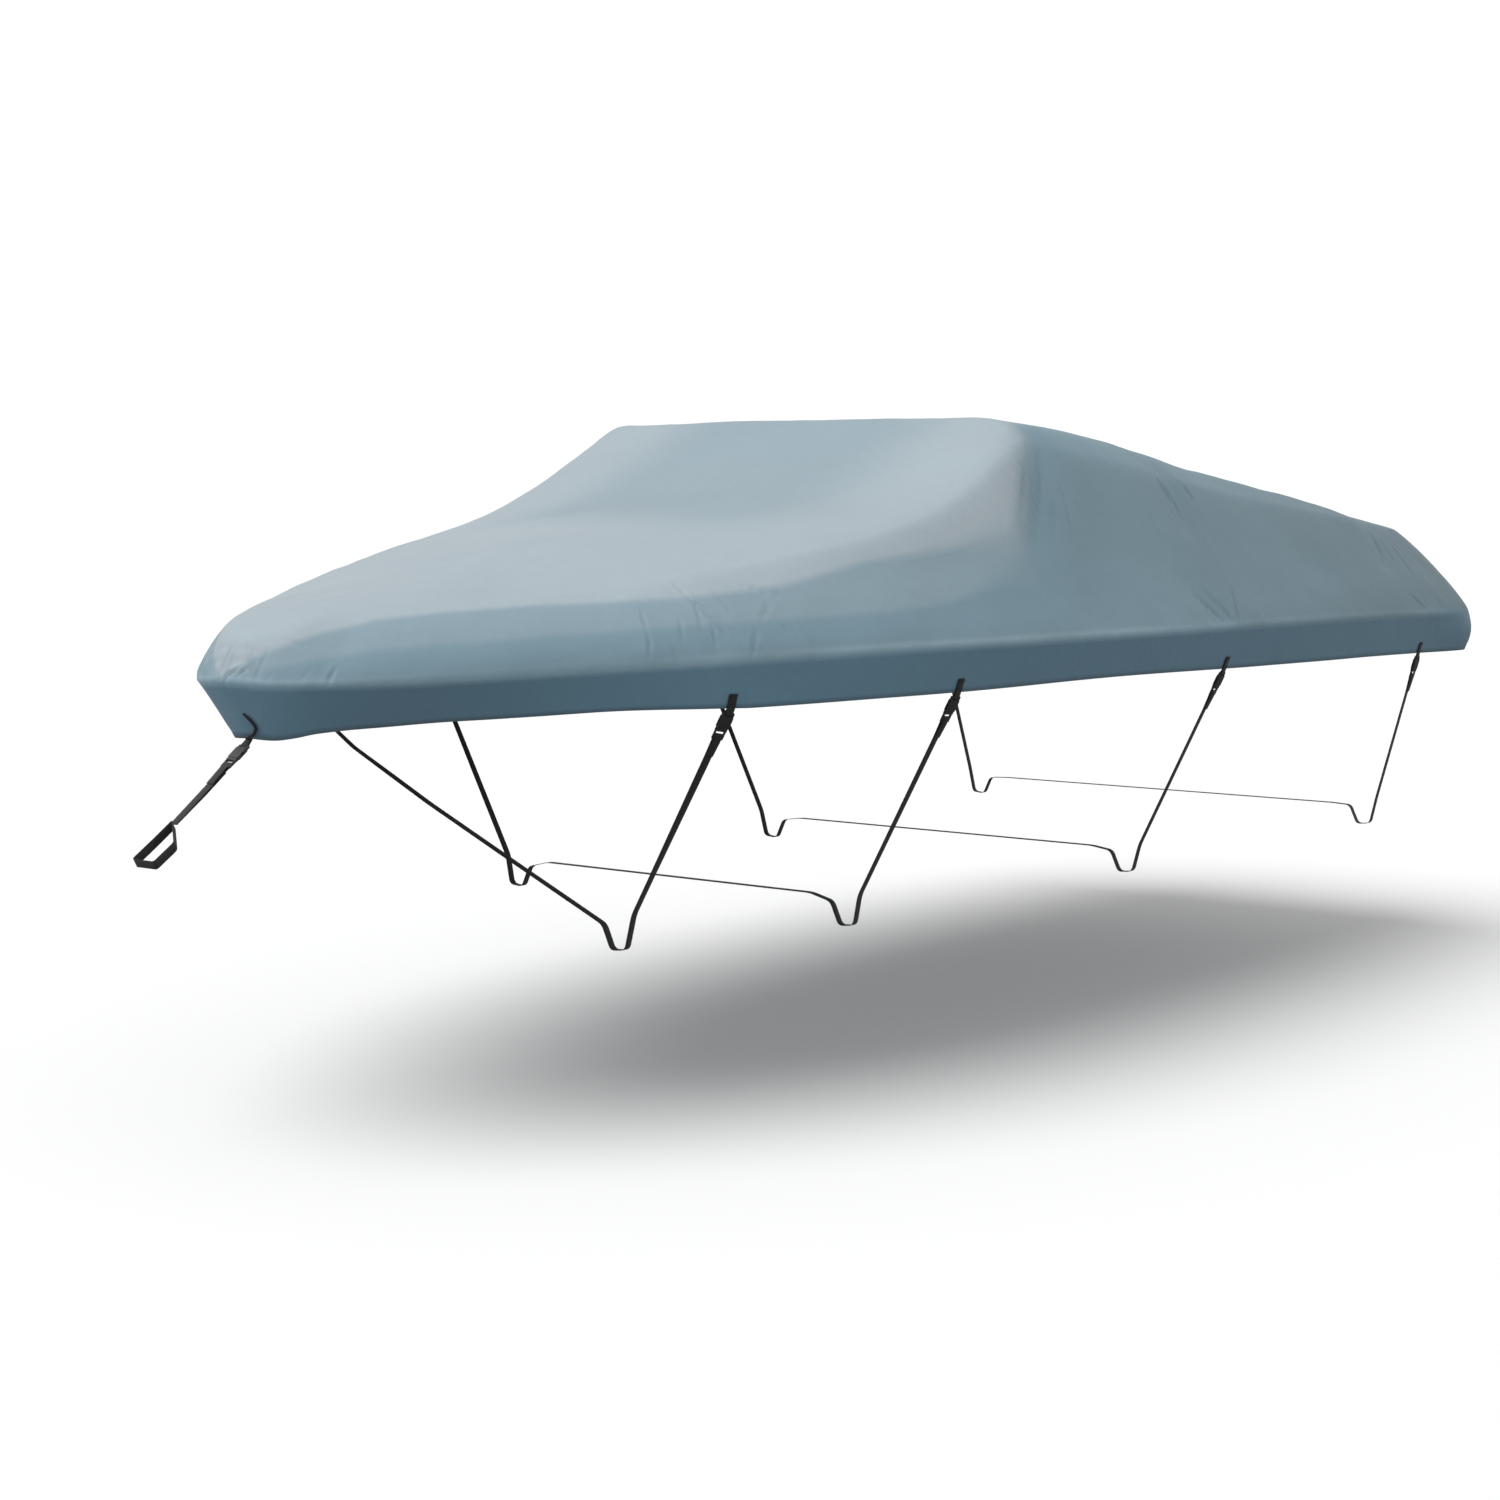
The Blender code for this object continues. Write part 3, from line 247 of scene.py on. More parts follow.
# Fine creases: along and girth at both ends, half width and depth. Positive depth is a trough with
# a raised edge.
CREASES = (
    (0.000, 0.028, 0.001, 0.120, 0.0075, 0.0020),
    (-0.006, 0.004, -0.050, 0.042, 0.0070, 0.0018),
    (-0.050, 0.018, -0.074, 0.045, 0.0060, 0.0014),
    (-0.107, 0.012, -0.048, 0.125, 0.0085, -0.0012),
    (-0.085, 0.020, -0.070, 0.075, 0.0060, 0.0006),
    (-0.104, 0.004, -0.119, 0.100, 0.0075, 0.0007),
    (-0.130, 0.004, -0.150, 0.040, 0.0060, 0.0004),
    (-0.163, 0.126, -0.214, 0.112, 0.0070, 0.0006),
    (-0.215, 0.004, -0.245, 0.045, 0.0070, 0.0003),
    (-0.290, 0.004, -0.310, 0.050, 0.0080, 0.0010),
    (0.055, 0.004, 0.085, 0.110, 0.0080, 0.0010),
    (0.075, 0.010, 0.092, 0.060, 0.0060, 0.0012),
    (0.100, 0.004, 0.125, 0.085, 0.0070, 0.0018),
    (0.170, 0.004, 0.195, 0.060, 0.0075, 0.0006),
    (0.230, 0.004, 0.250, 0.060, 0.0070, 0.0012),
    (-1.300, 0.284, -1.318, 0.208, 0.0075, 0.0018),
    (-1.316, 0.216, -1.352, 0.132, 0.0070, 0.0022),
    (-1.348, 0.142, -1.372, 0.084, 0.0065, 0.0020),
    (-1.253, 0.137, -1.239, 0.075, 0.0065, 0.0012),
    (-1.322, 0.188, -1.308, 0.113, 0.0065, 0.0013),
    (-1.342, 0.113, -1.329, 0.048, 0.0060, 0.0012),
    (-1.156, 0.180, -1.146, 0.105, 0.0065, 0.0013),
    (-1.148, 0.100, -1.135, 0.036, 0.0065, 0.0015),
    (-1.543, 0.101, -1.570, 0.073, 0.0065, 0.0012),
    (-0.951, 0.030, -0.960, 0.014, 0.0070, -0.0010),
    (-1.003, 0.030, -1.012, 0.014, 0.0070, -0.0010),
    (-1.029, 0.060, -1.018, 0.020, 0.0065, 0.0008),
    (-1.262, 0.250, -1.286, 0.212, 0.0065, 0.0009),
    (-1.395, 0.230, -1.420, 0.150, 0.0070, 0.0010),
    (-1.493, 0.242, -1.607, 0.192, 0.0085, 0.0014),
    (-1.552, 0.174, -1.493, 0.119, 0.0080, 0.0014),
    (-1.470, 0.090, -1.430, 0.020, 0.0080, 0.0010),
    (-1.200, 0.060, -1.215, 0.006, 0.0070, 0.0010),
    (-1.610, 0.080, -1.640, 0.010, 0.0080, 0.0010),
    (-2.589, 0.346, -2.887, 0.700, 0.0110, -0.0012),
    (-2.951, 0.657, -2.723, 0.339, 0.0080, 0.0018),
    (-2.817, 0.610, -2.663, 0.369, 0.0080, 0.0015),
    (-2.901, 0.484, -2.812, 0.337, 0.0080, 0.0013),
    (-2.870, 0.640, -2.760, 0.430, 0.0070, 0.0009),
    (-2.985, 0.560, -2.900, 0.300, 0.0075, 0.0009),
    (-3.710, 0.520, -3.715, 0.404, 0.0090, 0.0024),
    (-3.672, 0.560, -3.700, 0.470, 0.0080, -0.0020),
    (-3.829, 0.560, -3.883, 0.477, 0.0085, 0.0020),
    (-3.790, 0.590, -3.840, 0.530, 0.0075, 0.0012),
    (-3.640, 0.470, -3.660, 0.400, 0.0075, 0.0012),
    (-3.521, 0.130, -3.645, 0.012, 0.0095, 0.0020),
    (-3.590, 0.150, -3.690, 0.040, 0.0080, 0.0014),
    (-3.234, 0.139, -3.338, 0.070, 0.0110, 0.0012),
    (-3.800, 0.140, -3.730, 0.010, 0.0085, 0.0016),
    (-3.660, 0.090, -3.700, 0.008, 0.0070, 0.0012),
    (-5.416, 0.416, -5.282, 0.260, 0.0110, 0.0024),
    (-5.440, 0.370, -5.350, 0.220, 0.0090, 0.0014),
    (-5.500, 0.330, -5.420, 0.150, 0.0110, 0.0014),
    (-5.240, 0.100, -5.330, 0.010, 0.0100, 0.0014),
    (2.940, 0.650, 2.730, 0.340, 0.0085, 0.0020),
    (2.820, 0.600, 2.670, 0.370, 0.0080, 0.0014),
    (1.300, 0.260, 1.370, 0.080, 0.0090, 0.0020),
    (1.200, 0.140, 1.190, 0.040, 0.0080, 0.0014),
    (1.420, 0.200, 1.400, 0.060, 0.0080, 0.0014),
    (2.150, 0.140, 2.210, 0.010, 0.0140, 0.0016),
    (3.600, 0.130, 3.700, 0.010, 0.0095, 0.0020),
    (3.800, 0.120, 3.740, 0.010, 0.0085, 0.0016),
    (3.740, 0.500, 3.700, 0.390, 0.0090, 0.0020),
    (5.400, 0.400, 5.270, 0.240, 0.0110, 0.0022),
    (5.230, 0.110, 5.320, 0.010, 0.0100, 0.0016),
    (6.050, 0.300, 5.930, 0.120, 0.0120, 0.0020),
    (-6.020, 0.310, -5.910, 0.110, 0.0120, 0.0020),
    (-6.500, 0.300, -6.520, 0.060, 0.0200, 0.0016),
    (6.480, 0.280, 6.540, 0.060, 0.0200, 0.0016),
)

CREASE_GAIN = 4.2         # of those depths
CREASE_WIDTH = 0.74       # of those half widths

# Edges of the painted light of the lit top, up the cloth from the gunwale fold: along, a first step
# and the full one.
PAINTED_LIGHT_EDGE = (
    (0.000, 0.004, 0.010),
    (0.050, 0.014, 0.044),
    (0.096, 0.030, 0.080),
    (0.141, 0.046, 0.102),
    (0.253, 0.072, 0.153),
    (0.411, 0.096, 0.200),
    (0.617, 0.104, 0.221),
    (0.849, 0.106, 0.227),
    (1.080, 0.110, 0.218),
    (1.349, 0.113, 0.215),
    (1.467, 0.114, 0.223),
    (1.632, 0.116, 0.233),
    (1.949, 0.120, 0.300),
    (2.239, 0.150, 0.320),
    (2.621, 0.250, 0.351),
    (2.706, 0.380, 0.451),
    (2.790, 0.520, 0.594),
    (2.874, 0.640, 0.693),
    (3.000, 0.820, 0.880),
    (3.200, 1.100, 1.200),
    (9.000, 1.100, 1.200),
)
PAINTED_LIGHT_STEP = 0.30        # share of the painted light that the first step gives
FOLD_HIGHLIGHT = 0.45        # painted highlight just above the gunwale fold, and how far up it reaches
FOLD_HIGHLIGHT_HALF = 0.017

# Painted shade from bow to stern, darker aft where less light falls: changes, each with the places
# aft where it starts and is full.
TOP_PAINTED_SHADE = ((-0.12, 2.9, 3.4), (-0.18, 3.4, 4.8), (-0.12, 4.9, 5.4))
SKIRT_BOW_LIGHT = 1.17         # painted light: the skirt's tone at the bow, lighter than aft
# Painted shade on the skirt: darker towards the stern and at its corner.
SKIRT_PAINTED_SHADE = ((-0.17, 0.8, 2.2), (-0.12, 4.6, 5.4), (-0.20, 5.38, 5.50))
FOLD_PAINTED_HIGHLIGHT = 0.32          # how much lighter the painted highlight makes the cloth at the gunwale fold, and how far up
FOLD_PAINTED_HIGHLIGHT_HALF = 0.016

# Long shallow wrinkles on the forward slope and the top: aft and out at both ends, half width and
# depth.
FRONT_WRINKLES = (
    (2.290, 0.200, 1.800, 0.470, 0.0100, 0.0013),
    (2.120, 0.380, 1.700, 0.600, 0.0090, 0.0011),
    (2.330, 0.120, 2.020, 0.300, 0.0090, 0.0007),
    (2.380, -0.150, 2.150, 0.080, 0.0120, 0.0006),
    (2.900, -0.300, 3.500, -0.200, 0.0200, 0.0008),
    (3.300, 0.300, 4.200, 0.220, 0.0250, 0.0010),
    (4.300, -0.350, 4.900, -0.480, 0.0250, 0.0012),
    (4.700, 0.300, 5.080, 0.420, 0.0250, 0.0012),
)
FRONT_GAIN = 1.5          # of those depths
FRONT_ABOVE = 0.15        # girth below which they stop

# Places where the finer cloth sinks a little more than the plain solid: aft, out, radius, depth.
DENTS = (
    (2.50, -0.84, 0.150, 0.030),
)

# Puckers that the tight hem draws up from the gunwale fold: waves a metre, phase and height.
PUCKERS = (
    (5.3, 0.7, 0.0007),
    (8.9, 2.9, 0.0006),
    (13.7, 5.1, 0.0004),
)
PUCKER_REACH = 0.075

# Finest slack: waves that turn by the golden angle from one to the next.
NOISE_WAVES = 26
NOISE_TURN = 2.399963
NOISE_RATE = 1.1          # of the first, and how much it grows from one to the next
NOISE_GROWTH = 1.16
NOISE_HEIGHT = 0.00042

# ---------------------------------------------------------------- colours, light and camera
LIT_TOP_COLOUR = (0.343, 0.408, 0.447)          # painted light: the cloth's top as lit from above, with a painted sheen
SIDE_COLOUR = (0.175, 0.275, 0.330)
# painted shade: the skirt is the same cloth as the sides, given the bluer colour of its shade under
# the gunwale fold
SKIRT_SHADE_COLOUR = (0.148, 0.275, 0.368)
YARN = 0.0022                               # lengths of the waves of the weave
RIB = 0.0026                                # along the webbing
LINE = 0.0038                               # and across it
SUN_POWER = 2.3
SUN_ANGLE = 50.0
SUN_FROM = (-0.47, 0.07, 0.88)
SKY = ((0.0, 0.16), (0.46, 0.20), (0.495, 1.04), (0.62, 1.04), (0.75, 0.46), (1.0, 0.42))
FLOOR_REACH = 3000.0
GROUND_DROP = 1.154                         # the stern's hem above the ground
CAMERA_PLACE = (-4.45, -5.20, 1.74)         # behind the bow tip, to port, above the ground
CAMERA_TURN = (84.55, 0.0, -52.0)
CAMERA_LENS = 62.88


def by_column(table):
    return [np.array(values, float) for values in zip(*table)]


def smooth(xs, ys, at):
    """Monotone cubic through (xs, ys), read at the given places."""
    xs = np.asarray(xs, float)
    ys = np.asarray(ys, float)
    step = np.diff(xs)
    slope = np.diff(ys) / step
    tangent = np.zeros(len(xs))
    for i in range(1, len(xs) - 1):
        if slope[i - 1] * slope[i] > 0.0:
            a = 2.0 * step[i] + step[i - 1]
            b = step[i] + 2.0 * step[i - 1]
            tangent[i] = (a + b) / (a / slope[i - 1] + b / slope[i])
    tangent[0] = slope[0]
    tangent[-1] = slope[-1]
    at = np.asarray(at, float)
    i = np.clip(np.searchsorted(xs, at) - 1, 0, len(xs) - 2)
    t = (at - xs[i]) / step[i]
    a = (1.0 + 2.0 * t) * (1.0 - t) ** 2
    b = t * (1.0 - t) ** 2
    c = t * t * (3.0 - 2.0 * t)
    d = t * t * (t - 1.0)
    return a * ys[i] + b * step[i] * tangent[i] + c * ys[i + 1] + d * step[i] * tangent[i + 1]


def unit(vector):
    vector = np.asarray(vector, float)
    return vector / np.linalg.norm(vector)


def towards(vector, way):
    """The vector, turned over if it points away from the given way."""
    return -vector if vector @ way < 0.0 else vector


def run_along(path):
    """Distance along the line at each of its points."""
    return np.concatenate([[0.0], np.cumsum(np.linalg.norm(np.diff(path, axis=0), axis=1))])


def grown(value, over):
    return np.clip(value / over, 0.0, 1.0)


def eased(value, low, high):
    share = grown(value - low, high - low)
    return share * share * (3.0 - 2.0 * share)


def stepped(value, start, steps):
    """The start changed by each step's share, between the two places that the step gives."""
    for share, low, high in steps:
        start = start + share * eased(value, low, high)
    return start


# ---------------------------------------------------------------- shape of the cover
AFTWARD = np.array([1.0, 0.0, 0.0])
STARBOARD = np.array([0.0, 1.0, 0.0])
MIRROR = np.array([1.0, -1.0, 1.0])

AFT, OUT, UP = by_column(GUNWALE)
SKIRT_AFT, INSET, DROP, BELLY = by_column(SKIRT)
ROOF_AFT, RIDGE, CROWN, RIDGE_SHARE, SHOULDER, SIDE, BULGE = by_column(ROOF)
LENGTH = GUNWALE[-1][0]
ALONG = np.concatenate([[0.0], np.cumsum(np.hypot(np.diff(AFT), np.diff(OUT)))])
HALF_LOOP = ALONG[-1]
LAST_SIDE_ROW = 14                          # rows of GUNWALE before the stern corner turns in
PAST_STERN = (LENGTH + 0.3, 1.08, 0.146)    # where the sides would run on to: aft, out, up
LEAST_BEAM = 0.02                           # half beam taken at the very bow
BLEND_BEAM = 0.6                            # half beam from which the ridges are softened in full
SOFTENING = ((-1.0, 0.125), (-0.5, 0.25), (0.0, 0.25), (0.5, 0.25), (1.0, 0.125))


def mirrored(values, sign):
    """The column with three rows reflected past both of its ends, so that they stay smooth."""
    return np.concatenate([sign * values[3:0:-1], values, sign * values[-2:-5:-1]])


LOOP_KEYS = np.concatenate([-ALONG[3:0:-1], ALONG, 2.0 * HALF_LOOP - ALONG[-2:-5:-1]])


def gunwale(along):
    """Points of the starboard half of the gunwale fold, for distances along it from the bow."""
    aft = smooth(LOOP_KEYS, mirrored(AFT, 1.0), along)
    out = smooth(LOOP_KEYS, mirrored(OUT, -1.0), along)
    up = smooth(LOOP_KEYS, mirrored(UP, 1.0), along)
    return np.stack([aft, out, up], -1)


def inward(along):
    """Level direction into the cover, square to the gunwale fold."""
    step = 0.004
    ahead = gunwale(along + step) - gunwale(along - step)
    length = np.hypot(ahead[:, 0], ahead[:, 1])
    return np.stack([ahead[:, 1] / length, -ahead[:, 0] / length, np.zeros(len(length))], -1)


def roof_height(aft, out):
    """Height of the draped roof, softened over its ridges and over the crease from side to side."""
    total = np.zeros(len(aft))
    side_aft, side_out, side_up = (
        np.append(values[:LAST_SIDE_ROW], end) for values, end in zip((AFT, OUT, UP), PAST_STERN)
    )
    for shift, weight in SOFTENING:
        x = np.clip(aft + shift * CROSS_BLEND, 0.0, LENGTH)
        beam = np.maximum(smooth(side_aft, side_out, x), LEAST_BEAM)
        ridge = smooth(ROOF_AFT, RIDGE, x)
        crown = smooth(ROOF_AFT, CROWN, x)
        ridge_out = smooth(ROOF_AFT, RIDGE_SHARE, x) * beam
        shoulder = smooth(side_aft, side_up, x) + smooth(ROOF_AFT, SHOULDER, x)
        for slip, share in SOFTENING:
            y = np.abs(np.abs(out) + slip * RIDGE_BLEND * np.minimum(1.0, beam / BLEND_BEAM))
            inside = ridge + crown * (1.0 - (y / ridge_out) ** 2)
            fall = np.clip((y - ridge_out) / (beam - ridge_out), 0.0, 1.3)
            outside = ridge - (ridge - shoulder) * fall
            total += weight * share * np.where(y < ridge_out, inside, outside)
    return total


# The origin above the hem at the stern: a little under the cloth on the centreline.
ORIGIN_UP = float(roof_height(np.array([ORIGIN_AFT]), np.array([0.0]))[0]) - CLOTH - 0.004


def spine_aft(along):
    """Where the row of cloth that starts at this place on the fold meets the centreline."""
    share = ALONG / HALF_LOOP
    keys = (1.0 - SPINE_EVEN) * (SPINE_FROM + (SPINE_TO - SPINE_FROM) * AFT / LENGTH)
    keys = keys + SPINE_EVEN * (SPINE_FROM + (SPINE_TO - SPINE_FROM) * share) + 0.0001 * share
    return smooth(ALONG, keys, along)


def top_point(along, share):
    """Cloth above the fold: share 0 at the gunwale fold, 1 on the centreline."""
    fold = gunwale(along)
    aft = (1.0 - share) * fold[:, 0] + share * spine_aft(along)
    out = (1.0 - share) * fold[:, 1]
    into = inward(along)
    reach = np.abs((aft - fold[:, 0]) * into[:, 0] + (out - fold[:, 1]) * into[:, 1])
    at = np.clip(fold[:, 0], 0.0, LENGTH)
    bulge = smooth(ROOF_AFT, BULGE, at)
    left = 1.0 - grown(reach, smooth(ROOF_AFT, SIDE, at))
    rise = np.clip(1.0 - left ** bulge, 0.0, 1.0) ** (1.0 / bulge)
    up = fold[:, 2] + rise * (roof_height(aft, out) - fold[:, 2])
    return np.stack([aft, out, up], -1)


def skirt_point(along, share):
    """Cloth below the fold: share 0 at the gunwale fold, 1 at the hem."""
    fold = gunwale(along)
    at = np.clip(fold[:, 0], 0.0, LENGTH)
    inset, drop, belly = (smooth(SKIRT_AFT, values, at) for values in (INSET, DROP, BELLY))
    inset = inset * share - belly * np.sin(math.pi * share)
    point = fold + inward(along) * inset[:, None]
    point[:, 2] = point[:, 2] - drop * share
    return point


def segment_distance(u, v, row):
    """Distance to the line and how far along it, for points on the cloth."""
    start = np.array(row[0:2])
    run = np.array(row[2:4]) - start
    share = ((u - start[0]) * run[0] + (v - start[1]) * run[1]) / float(run @ run)
    nearest = np.clip(share, 0.0, 1.0)
    off_u = u - start[0] - nearest * run[0]
    off_v = v - start[1] - nearest * run[1]
    return np.hypot(off_u, off_v), nearest


def fold_depth(along, girth):
    """How far the main folds and the slack push the cloth in, at signed places on it."""
    depth = np.zeros(np.shape(along))
    for row in FOLDS:
        off, _ = segment_distance(along, girth, row)
        depth = depth + row[5] * np.exp(-((off / row[4]) ** 2) * 2.0)
    for rate, climb, phase, height in SLACK:
        depth = depth + height * np.sin(2.0 * math.pi * (rate * along + climb * girth) + phase)
    return depth


def crease_depth(u, v, table):
    """Troughs with raised edges along the table's lines, shallower towards their ends."""
    depth = np.zeros(np.shape(u))
    for row in table:
        off, share = segment_distance(u, v, row)
        taper = 0.35 + 0.65 * np.sin(math.pi * np.clip(share, 0.02, 0.98))
        ratio = (off / (row[4] * CREASE_WIDTH)) ** 2
        depth = depth + row[5] * taper * (1.0 - 0.75 * ratio) * np.exp(-0.5 * ratio)
    return depth


def slack_noise(u, v):
    """Smooth uneven height from a fixed family of waves."""
    depth = np.zeros(np.shape(u))
    for i in range(NOISE_WAVES):
        turn = NOISE_TURN * i
        rate = NOISE_RATE * NOISE_GROWTH ** i
        height = NOISE_HEIGHT / (1.0 + 0.20 * rate)
        way = u * math.cos(turn) + v * math.sin(turn)
        bend = 0.6 * np.sin(0.9 * rate * v + 2.1 * i)
        depth = depth + height * np.sin(2.0 * math.pi * rate * way * 0.55 + 1.7 * i * i + bend)
    return depth


def pucker_depth(along, girth):
    """Puckers just above the gunwale fold, fading out up the cloth."""
    depth = np.zeros(np.shape(along))
    for rate, phase, height in PUCKERS:
        warp = along + 0.05 * np.sin(3.1 * along + phase) + 0.25 * girth * np.sin(2.3 * along)
        depth = depth + height * np.sin(2.0 * math.pi * rate * warp + phase)
    return depth * np.exp(-girth / PUCKER_REACH) * grown(girth, 0.012)


def fine_stations():
    """Places of the fine columns along the half outline."""
    places = []
    for start, end, count in FINE_SPACING:
        end = min(end, HALF_LOOP)
        for i in range(count):
            places.append(start + (end - start) * i / count)
    places.append(HALF_LOOP)
    return np.array(places)


def normals_of(grid, fold):
    """Outward normals of the loop of columns, whose row number "fold" is the gunwale fold."""
    ahead = np.roll(grid, -1, axis=0) - np.roll(grid, 1, axis=0)
    climb = np.zeros_like(grid)
    climb[:, 1:-1] = grid[:, 2:] - grid[:, :-2]
    climb[:, 0] = grid[:, 1] - grid[:, 0]
    climb[:, -1] = grid[:, -1] - grid[:, -2]
    # On the gunwale fold the cloth turns, so its normal is the mean of both sides.
    climb[:, fold] = (grid[:, fold + 1] - grid[:, fold]) * 4.0 + grid[:, fold] - grid[:, fold - 1]
    normal = np.cross(climb, ahead)
    normal = normal / np.maximum(np.linalg.norm(normal, axis=2), 1e-12)[:, :, None]
    normal[:, -1] = normal[:, -2]
    return normal


def upright(normals):
    """Normals on the centreline, without their slant to a side."""
    level = normals * (AFTWARD + np.array([0.0, 0.0, 1.0]))
    return level / np.linalg.norm(level, axis=1)[:, None]


def fine_grid():
    """Plain outer skin with, for each point, its place along the fold and its girth up from it."""
    half = fine_stations()
    last = len(half) - 1
    rows = []
    for j in range(FINE_SKIRT):
        rows.append(skirt_point(half, np.full(len(half), 1.0 - j / FINE_SKIRT)))
    for share in (np.arange(FINE_TOP + 1) / FINE_TOP) ** FINE_POWER:
        rows.append(top_point(half, np.full(len(half), share)))
    starboard = np.stack(rows, 1)
    port = starboard.copy()
    port[:, :, 1] *= -1.0
    grid = np.concatenate([port, starboard[last - 1:0:-1]], 0)
    along = np.concatenate([-half, half[last - 1:0:-1]])
    steps = np.linalg.norm(np.diff(grid, axis=1), axis=2)
    run = np.concatenate([np.zeros((len(grid), 1)), np.cumsum(steps, axis=1)], 1)
    girth = run - run[:, FINE_SKIRT:FINE_SKIRT + 1]
    return grid, along, girth, last


def pressed_grid():
    """The outer skin with its main folds, creases, puckers and slack."""
    grid, along, girth, last = fine_grid()
    columns = len(grid)
    normal = normals_of(grid, FINE_SKIRT)
    flip = np.where(normal[0, FINE_SKIRT + FINE_TOP // 2, 2] < 0.0, -1.0, 1.0)
    normal = normal * flip
    aft, out, up = (grid[:, :, axis] for axis in range(3))
    u = np.broadcast_to(along[:, None], girth.shape)
    top = np.clip(girth, 0.0, None)
    main = fold_depth(u, top) * FOLD_SHARE * grown(top, 0.03)
    fine = CREASE_GAIN * crease_depth(u, top, CREASES) * grown(top, 0.008)
    front = FRONT_GAIN * crease_depth(aft, out, FRONT_WRINKLES) * (top > FRONT_ABOVE)
    slack = slack_noise(aft + 0.3 * up, out + 0.6 * up) * grown(top, 0.04)
    low = np.clip(-girth, 0.0, None)
    reach = low[:, 0:1]
    band = np.sin(math.pi * grown(low, np.maximum(reach, 1e-6)))
    skirt = SKIRT_WAVE * band * np.sin(2.0 * math.pi * 1.3 * u + 1.0)
    stitch = (low - (reach - SKIRT_STITCH)) / STITCH_HALF
    groove = STITCH_DEPTH * np.exp(-(stitch ** 2)) * (low > 0.0)
    dent = np.zeros(girth.shape)
    for dent_aft, dent_out, radius, deep in DENTS:
        off = np.hypot(aft - dent_aft, out - dent_out)
        dent = dent + deep * np.exp(-((off / radius) ** 2) * 2.0)
    to_spine = eased(girth[:, -1:] - girth, 0.01, 0.09)
    depth = (main + fine + front + pucker_depth(u, top)) * to_spine + slack + dent + skirt + groove
    spine = normal[:, -1].copy()
    for i in range(1, last):
        j = columns - i
        depth[i, -1] = depth[j, -1] = 0.5 * (depth[i, -1] + depth[j, -1])
        spine[i] = spine[j] = unit(normal[i, -1] + normal[j, -1])
    normal[:, -1] = upright(spine)
    return grid - normal * depth[:, :, None], along, girth, last, flip


def skin_index(columns, rows, last, start):
    """Vertex numbers of one skin, whose last row is shared by port and starboard."""
    index = np.zeros((columns, rows), int)
    index[:, :-1] = start + np.arange(columns * (rows - 1)).reshape(columns, rows - 1)
    base = start + columns * (rows - 1)
    index[: last + 1, -1] = base + np.arange(last + 1)
    index[last + 1:, -1] = base + np.arange(last - 1, 0, -1)
    return index, base + last + 1


def skin_quads(index):
    nxt = np.roll(index, -1, axis=0)
    return np.stack([index[:, :-1], nxt[:, :-1], nxt[:, 1:], index[:, 1:]], -1).reshape(-1, 4)


def both_skins(outer, inner, values, under):
    """Values of the two skins in the order of the mesh's points."""
    spread = np.zeros((inner.max() + 1, *values.shape[2:]))
    spread[outer.ravel()] = values.reshape(-1, *values.shape[2:])
    spread[inner.ravel()] = under.reshape(-1, *values.shape[2:])
    return spread


def fine_cloth(stuff):
    """The cover: its finer outer skin, a coarser underside and the rim along the hem."""
    grid, along, girth, last, flip = pressed_grid()
    columns, rows = grid.shape[:2]
    outer, count = skin_index(columns, rows, last, 0)
    coarse = grid[::LINING_STEP, ::LINING_STEP]
    coarse_normal = normals_of(coarse, FINE_SKIRT // LINING_STEP) * flip
    coarse_normal[:, -1] = upright(coarse_normal[:, -1])
    lift = np.full(coarse.shape[:2], LINING_LIFT)
    lift[:, 0] = CLOTH
    lift[:, 1] = CLOTH + 0.0008
    under = coarse - coarse_normal * lift[:, :, None]
    inner, _ = skin_index(*under.shape[:2], last // LINING_STEP, count)
    quads, lining = skin_quads(outer), skin_quads(inner)[:, ::-1]
    rim = []
    middle = LINING_STEP // 2
    for k in range(len(under)):
        m = (k + 1) % len(under)
        edge = [outer[(LINING_STEP * k + i) % columns, 0] for i in range(LINING_STEP + 1)]
        for i in range(LINING_STEP):
            rim.append((edge[i], inner[k if i < middle else m, 0], edge[i + 1]))
        rim.append((edge[middle], inner[k, 0], inner[m, 0]))
    faces = [tuple(map(int, face)) for group in (quads, lining, rim) for face in group]
    points = to_world(both_skins(outer, inner, grid, under))
    if enclosed_sign(points, quads, lining) < 0.0:
        faces = [tuple(reversed(face)) for face in faces]
    mesh = bpy.data.meshes.new("fine_cover")
    mesh.from_pydata(points.tolist(), [], faces)

    def carry(name, values, kind="FLOAT", field="value"):
        """Carry the values on the points of both skins, for the material."""
        spread = both_skins(outer, inner, values, values[::LINING_STEP, ::LINING_STEP])
        layer = mesh.attributes.new(name, kind, "POINT")
        layer.data.foreach_set(field, spread.astype(np.float32).ravel())

    # The skirt's colour is painted shade, and it climbs a little above the fold at the stern
    # corner, where the rounded cloth turns from the light.
    rise = 0.050 * np.exp(-(((np.abs(along) - 5.56) / 0.13) ** 2))[:, None]
    blur = 0.006 + rise * 0.8
    carry("skirt", np.clip((rise - girth) / blur + 0.1, 0.0, 1.0))
    # Painted light of the lit top, carried on the cloth for the material.
    carry("painted_light", bleaching(grid, along, girth))
    # Painted shade towards the stern and painted highlight at the fold, carried for the material.
    carry("dye", dye(grid[:, :, 0], girth))
    place = np.broadcast_to(np.abs(along)[:, None], girth.shape)
    carry("on_cloth", np.stack([place, girth, np.zeros(girth.shape)], -1), "FLOAT_VECTOR", "vector")
    mesh.shade_smooth()
    made = placed("fine_cover", mesh)
    mesh.materials.append(stuff["cloth"])
    ahead, climb = np.diff(grid, axis=0)[:, :-1], np.diff(grid, axis=1)[:-1]
    area = float(np.linalg.norm(np.cross(ahead, climb), axis=2).sum())
    print("cloth area about", round(area, 2), "faces", len(faces))
    return made


